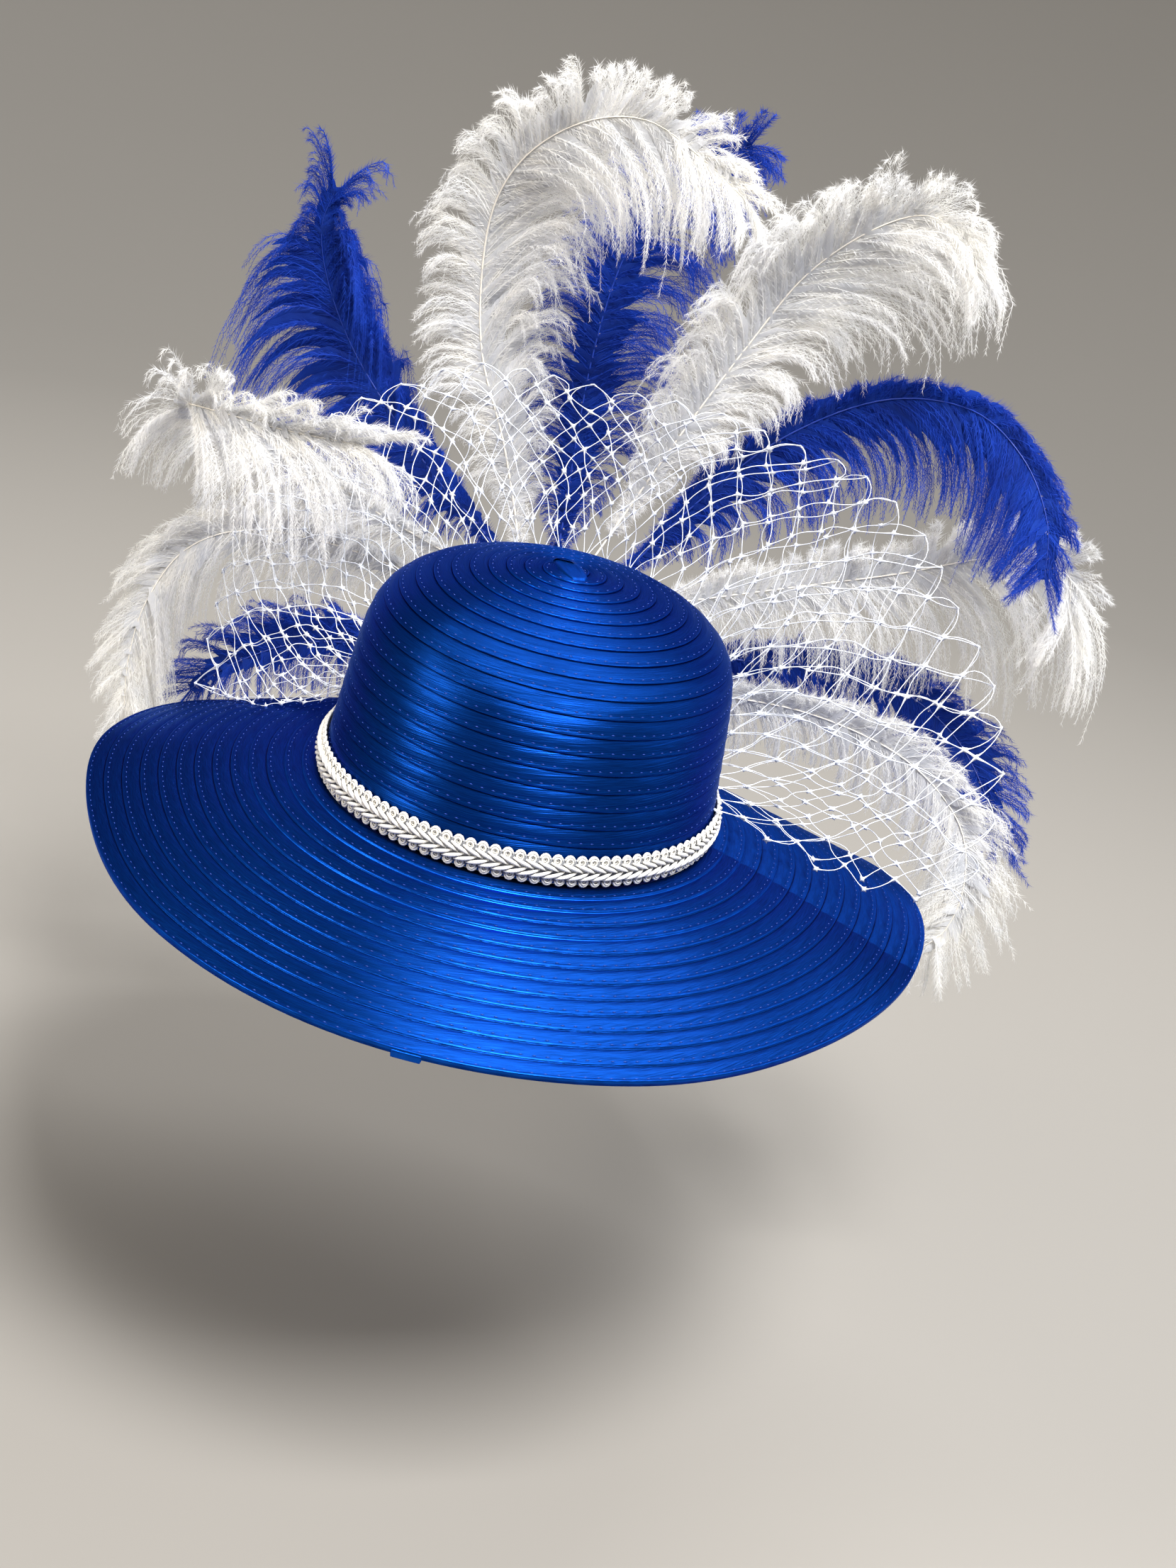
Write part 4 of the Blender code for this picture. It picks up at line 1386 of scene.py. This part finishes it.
def plume_side(draw, rows, habit, length, turn):
    """One side's waves and barbs. Toward their ends barbs close on a wisp, and wisps on their wave."""
    lean = habit.leans[turn < 0]
    stray = 1 + lean ** 2
    loose = 0.5 + habit.gather
    wave_at = evenly(draw, length, WAVE_SPACING, 0.3)
    wave_tip = tip_share(wave_at, length, habit)
    mean = Traits(long=WAVE_LONG, tilt=habit.tilts[turn < 0], lean=lean, arch=ARCH, curl=0.0)
    mean = Traits(*(np.full(len(wave_at), value) for value in mean))
    waves = varied(draw, mean, np.arange(len(wave_at)), Traits(
        long=0.08 * loose,
        tilt=0.14 * loose + TIP_TILT * wave_tip,
        lean=0.09 * loose * stray + habit.fan * wave_tip,
        arch=0.08 * loose,
        curl=0.03,
    ))
    wisp_at = evenly(draw, length, WISP_SPACING, 0.35)
    in_wave = nearest(wisp_at, wave_at)
    wisp_tip = tip_share(wisp_at, length, habit)
    wisps = varied(draw, waves, in_wave, Traits(
        long=0.09,
        tilt=0.07 + TIP_TILT * wisp_tip,
        lean=0.06 * stray + habit.fan * wisp_tip,
        arch=0.08,
        curl=0.06,
    ))
    slat = (wisp_at - wave_at[in_wave]) / WAVE_SPACING
    wisps = wisps._replace(tilt=wisps.tilt + WAVE_TILT * slat)
    barb_at = evenly(draw, length, habit.spacing, 0.2)
    in_wisp = nearest(barb_at + draw.normal(0, 0.5, len(barb_at)), wisp_at)
    wild = draw.random(len(barb_at)) < FREE_SHARE * (1.6 - habit.gather)
    held = varied(draw, wisps, in_wisp, Traits(long=0.06, tilt=0.06, lean=0.04 * stray, arch=0.05, curl=0.05))
    free = varied(draw, wisps, in_wisp, Traits(long=0.08, tilt=0.18, lean=0.08 * stray, arch=0.12, curl=0.08))
    barbs = Traits(*(np.where(wild, *pair) for pair in zip(free, held)))
    wave_paths, wave_long = hanging_paths(rows, habit, wave_at, turn, waves)
    wisp_paths, _ = hanging_paths(rows, habit, wisp_at, turn, wisps)
    barb_paths, barb_long = hanging_paths(rows, habit, barb_at, turn, barbs)
    t = np.linspace(0, 1, BARB_STEPS)[None, :, None]
    gather = (habit.gather + (TIP_GATHER - habit.gather) * wisp_tip)[:, None, None]
    wisp_paths = wisp_paths + (wave_paths[in_wave] - wisp_paths) * gather * t ** 3
    cling = np.where(wild, FREE_CLING, draw.uniform(*CLING, len(barb_at)))[:, None, None] * t ** 2
    return Locks(
        waves=wave_paths,
        wave_long=wave_long,
        web=habit.web * (1 - WEB_FADE * wave_tip),
        barbs=barb_paths + (wisp_paths[in_wisp] - barb_paths) * cling,
        barb_long=barb_long,
    )


# %% Meshes of webs, barbs and barbules
WEB_COLUMNS = 4
WEB_WIDE = 7.0
WEB_BULGE = 0.22
WEB_SINK = 0.12
WEB_TILT = math.radians(16.0)
WEB_LONGEST = 0.98
WEB_APART = 20.0
BARB_ROOT_WIDE = 0.40
BARB_TIP_WIDE = 0.15
BARB_TWIST = 0.7
BARBULE_SPACING = 1.25
BARBULE_LONG = 5.6
BARBULE_WIDE = 0.34
BARBULE_AROUND = 0.8
BARBULE_SPREAD = (0.30, 0.85)
BARBULE_DROOP = 0.12
FEWEST_BARBULES = 5


def read_paths(paths, path, share):
    """Points on the picked paths at a share of the way along them, and the step that each one lies in."""
    spot = share * (BARB_STEPS - 1)
    index = np.minimum(spot.astype(int), BARB_STEPS - 2)
    between = (spot - index)[..., None]
    return paths[path, index] * (1 - between) + paths[path, index + 1] * between, index


def lock_webs(draw, paths, long, turn, web):
    """A low curved web under every wave, where its barbs lie too close to tell apart."""
    count = len(paths)
    reach = np.minimum(web * draw.uniform(0.75, 1.25, count), WEB_LONGEST)[:, None]
    share = np.linspace(0, 1, BARB_STEPS) * reach
    middle, _ = read_paths(paths, np.arange(count)[:, None], share)
    forward = unit(np.gradient(middle, axis=1))
    wide = unit(np.cross(forward, FRONT + 0.0 * forward))
    out = np.cross(wide, forward)
    slat = wide * math.cos(WEB_TILT) + out * turn * math.sin(WEB_TILT)
    steps = np.linspace(-1, 1, WEB_COLUMNS + 1)[None, None, :, None]
    taper = np.clip((1.03 - share / reach) * 1.8, 0, 1)[..., None, None]
    half = WEB_WIDE / 2 * taper * draw.uniform(0.75, 1.15, (count, BARB_STEPS, WEB_COLUMNS + 1, 1))
    points = middle[:, :, None] + slat[:, :, None] * steps * half
    rise = WEB_BULGE * (1 - steps ** 2) * np.clip(share * 5, 0, 1)[..., None, None] - WEB_SINK
    points = points + out[:, :, None] * half * rise
    row = WEB_COLUMNS + 1
    first = np.arange(count)[:, None, None] * BARB_STEPS * row
    corner = first + np.arange(BARB_STEPS - 1)[:, None] * row + np.arange(WEB_COLUMNS)
    faces = np.stack([corner, corner + 1, corner + row + 1, corner + row], axis=-1).reshape(-1, 4)
    across = np.arange(count)[:, None, None] * WEB_APART + (steps * half)[..., 0]
    down = (share * long[:, None])[..., None] + 0.0 * across
    return Part(points.reshape(-1, 3), faces, np.stack([across, down], axis=-1).reshape(-1, 2), WEB_SLOT)


def barb_ribbons(draw, paths, long, tone):
    """Each barb's own narrow ribbon, turned a little its own way."""
    forward = unit(np.gradient(paths, axis=1))
    flat = unit(np.cross(forward, FRONT + 0.0 * forward))
    twist = draw.normal(0, BARB_TWIST, len(paths))[:, None, None]
    wide = flat * np.cos(twist) + np.cross(flat, forward) * np.sin(twist)
    half = np.linspace(BARB_ROOT_WIDE, BARB_TIP_WIDE, BARB_STEPS)[None, :, None] / 2
    points = np.stack([paths - wide * half, paths + wide * half], axis=2).reshape(-1, 3)
    first = np.arange(len(paths))[:, None] * BARB_STEPS * 2 + np.arange(BARB_STEPS - 1) * 2
    faces = np.stack([first, first + 1, first + 3, first + 2], axis=-1).reshape(-1, 4)
    down = long[:, None] * np.linspace(0, 1, BARB_STEPS)
    spots = np.stack(np.broadcast_arrays(tone[:, None], down), axis=-1)
    return Part(points, faces, np.repeat(spots.reshape(-1, 2), 2, axis=0), BARB_SLOT)


def barbules(draw, paths, long, tone, sign):
    """Loose barbules down one side of every barb, long in the middle and short at its ends."""
    counts = np.maximum((long / BARBULE_SPACING).astype(int), FEWEST_BARBULES)
    barb = np.repeat(np.arange(len(paths)), counts)
    starts = np.repeat(np.cumsum(counts) - counts, counts)
    share = (np.arange(len(barb)) - starts + draw.uniform(0.1, 0.9, len(barb))) / counts[barb]
    root, index = read_paths(paths, barb, share)
    forward = unit(paths[barb, index + 1] - paths[barb, index])
    across = unit(np.cross(forward, FRONT + 0.0 * forward)) * sign
    around = draw.normal(0.0, BARBULE_AROUND, len(barb))[:, None]
    outward = across * np.cos(around) + np.cross(forward, across) * np.sin(around)
    spread = draw.uniform(*BARBULE_SPREAD, len(barb))[:, None]
    way = unit(forward + outward * spread + DOWN * BARBULE_DROOP)
    swell = np.clip(share / 0.12, 0.5, 1) * (1 - 0.6 * share ** 2)
    reach = (BARBULE_LONG * swell * draw.uniform(0.6, 1.25, len(barb)))[:, None]
    points = np.stack([root, root + forward * BARBULE_WIDE, root + way * reach], axis=1).reshape(-1, 3)
    faces = np.arange(len(points)).reshape(-1, 3)
    spots = np.stack([tone[barb] + draw.normal(0, 0.3, len(barb)), share * long[barb]], axis=-1)
    return Part(points, faces, np.repeat(spots, 3, axis=0), BARB_SLOT)


# %% All the plumes
QUILL_THICK = 0.60
QUILL_TIP_THICK = 0.15
QUILL_POINTS = 60
QUILL_FRONT = 0.35
MAP_SPREAD = 900
for number, habit in enumerate(HABITS):
    name = habit.name
    tint = name.split("_")[0]
    draw = np.random.default_rng(SEED + number)
    rows = quill_rows(tint, table(QUILL_COLUMNS, *QUILLS[name]))
    length = quill_places(rows)[1][-1]
    parts = []
    for turn in (1, -1):
        locks = plume_side(draw, rows, habit, length, turn)
        parts.append(lock_webs(draw, locks.waves, locks.wave_long, turn, locks.web))
        tone = draw.uniform(0, MAP_SPREAD, len(locks.barbs))
        parts.append(barb_ribbons(draw, locks.barbs, locks.barb_long, tone))
        for sign in (1, -1):
            parts.append(barbules(draw, locks.barbs, locks.barb_long, tone, sign))
    quill_spots = along_rows(rows, np.linspace(0, len(rows) - 1, QUILL_POINTS))[None, :, :3]
    quill_thick = np.linspace(QUILL_THICK, QUILL_TIP_THICK, QUILL_POINTS)
    parts.append(cords(quill_spots + FRONT * QUILL_FRONT, quill_thick, FRONT, 8, material=QUILL_SLOT))
    title = "ostrich_" + name
    plume = add_piece(joined_mesh(title, parts), title, plume_materials[tint])
    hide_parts("plume_" + name)

# %% [markdown]
# ## Stage, light and camera
# The hat hangs where a head would hold it, over a plain grey floor that curves up all round into a backdrop,
# so no horizon shows. Satin shows only what it mirrors, so a small warm light low on the left and a strong
# one high on the right draw its bands, and they keep the crown's right side dark between them. A soft light
# behind shines through the feathers, and a weak cool one fills in from the side.

# %% Floor
# These sizes are in metres.
FLOOR_Z = -0.26
FLOOR_FLAT = 1.6
FLOOR_CURVE = 1.4
CURVE_STEPS = 12
floor_bm = bmesh.new()
profile = [floor_bm.verts.new((0.0, 0.0, FLOOR_Z)), floor_bm.verts.new((FLOOR_FLAT, 0.0, FLOOR_Z))]
for step in range(1, CURVE_STEPS + 1):
    angle = math.pi / 2 * step / CURVE_STEPS
    x = FLOOR_FLAT + FLOOR_CURVE * math.sin(angle)
    z = FLOOR_Z + FLOOR_CURVE * (1 - math.cos(angle))
    profile.append(floor_bm.verts.new((x, 0.0, z)))
edges = [floor_bm.edges.new(pair) for pair in zip(profile, profile[1:])]
bmesh.ops.spin(
    floor_bm, geom=profile + edges, cent=(0, 0, 0), axis=(0, 0, 1), angle=math.tau, steps=96,
    use_merge=True,
)
bmesh.ops.remove_doubles(floor_bm, verts=floor_bm.verts, dist=MM)
floor_mesh = bpy.data.meshes.new("studio_floor")
floor_bm.to_mesh(floor_mesh)
floor_bm.free()
floor_mesh.shade_smooth()
floor = bpy.data.objects.new("studio_floor", floor_mesh)
bpy.context.scene.collection.objects.link(floor)
floor_mesh.materials.append(new_material("matt_grey_paper", {
    "Base Color": colour("#8C8882"), "Roughness": 0.9,
})[0])
print("floor:", len(floor_mesh.polygons), "faces, in metres at z", FLOOR_Z)

# %% Lights
AIM = Vector((0.0, 0.0, 0.08))


def soft_light(name, place, size, watts, tone):
    """A square soft light that faces the hat. Its place and size are in metres."""
    lamp = bpy.data.lights.new(name, "AREA")
    lamp.shape = "SQUARE"
    lamp.size = size
    lamp.energy = watts
    lamp.color = colour(tone)[:3]
    holder = bpy.data.objects.new(name, lamp)
    holder.location = place
    holder.rotation_euler = (AIM - Vector(place)).to_track_quat("-Z", "Y").to_euler()
    bpy.context.scene.collection.objects.link(holder)


soft_light("key_light", (-1.42, -0.88, 0.98), 0.6, 24.0, "#FFF7EC")
soft_light("top_light", (0.56, -0.84, 1.90), 0.8, 98.0, "#FFFFFF")
soft_light("back_light", (0.15, 0.95, 1.55), 1.0, 26.0, "#FFFFFF")
soft_light("side_light", (1.6, 0.5, 0.9), 1.2, 7.0, "#EEF3FF")
world = bpy.data.worlds.new("studio_air")
world.use_nodes = True
set_up(world.node_tree, world.node_tree.nodes["Background"], {"Color": colour("#EEF0F2"), "Strength": 0.26})
bpy.context.scene.world = world
bpy.context.scene.view_settings.view_transform = "Standard"
print("lights:", len(bpy.data.lights))

# %% Camera
CAMERA_AZIMUTH = math.radians(8.0)
CAMERA_ELEVATION = math.radians(21.5)
CAMERA_ROLL = math.radians(14.2)
CAMERA_DISTANCE = 972.0
CAMERA_RIGHT = 29.69
CAMERA_UP = 0.97
back = Vector((
    math.sin(CAMERA_AZIMUTH) * math.cos(CAMERA_ELEVATION),
    -math.cos(CAMERA_AZIMUTH) * math.cos(CAMERA_ELEVATION),
    math.sin(CAMERA_ELEVATION),
))
level_right = Vector((math.cos(CAMERA_AZIMUTH), math.sin(CAMERA_AZIMUTH), 0.0))
level_up = back.cross(level_right)
right = level_right * math.cos(CAMERA_ROLL) + level_up * math.sin(CAMERA_ROLL)
up = level_up * math.cos(CAMERA_ROLL) - level_right * math.sin(CAMERA_ROLL)
place = (right * CAMERA_RIGHT + up * CAMERA_UP + back * CAMERA_DISTANCE) * MM
lens = bpy.data.cameras.new("photo_camera")
lens.lens = 52.0
lens.sensor_width = 36.0
lens.clip_start = 0.02
lens.clip_end = 30.0
camera = bpy.data.objects.new("photo_camera", lens)
camera.matrix_world = Matrix.Translation(place) @ Matrix((right, up, back)).transposed().to_4x4()
bpy.context.scene.collection.objects.link(camera)
bpy.context.scene.camera = camera
print("camera in mm:", [round(value / MM) for value in place])
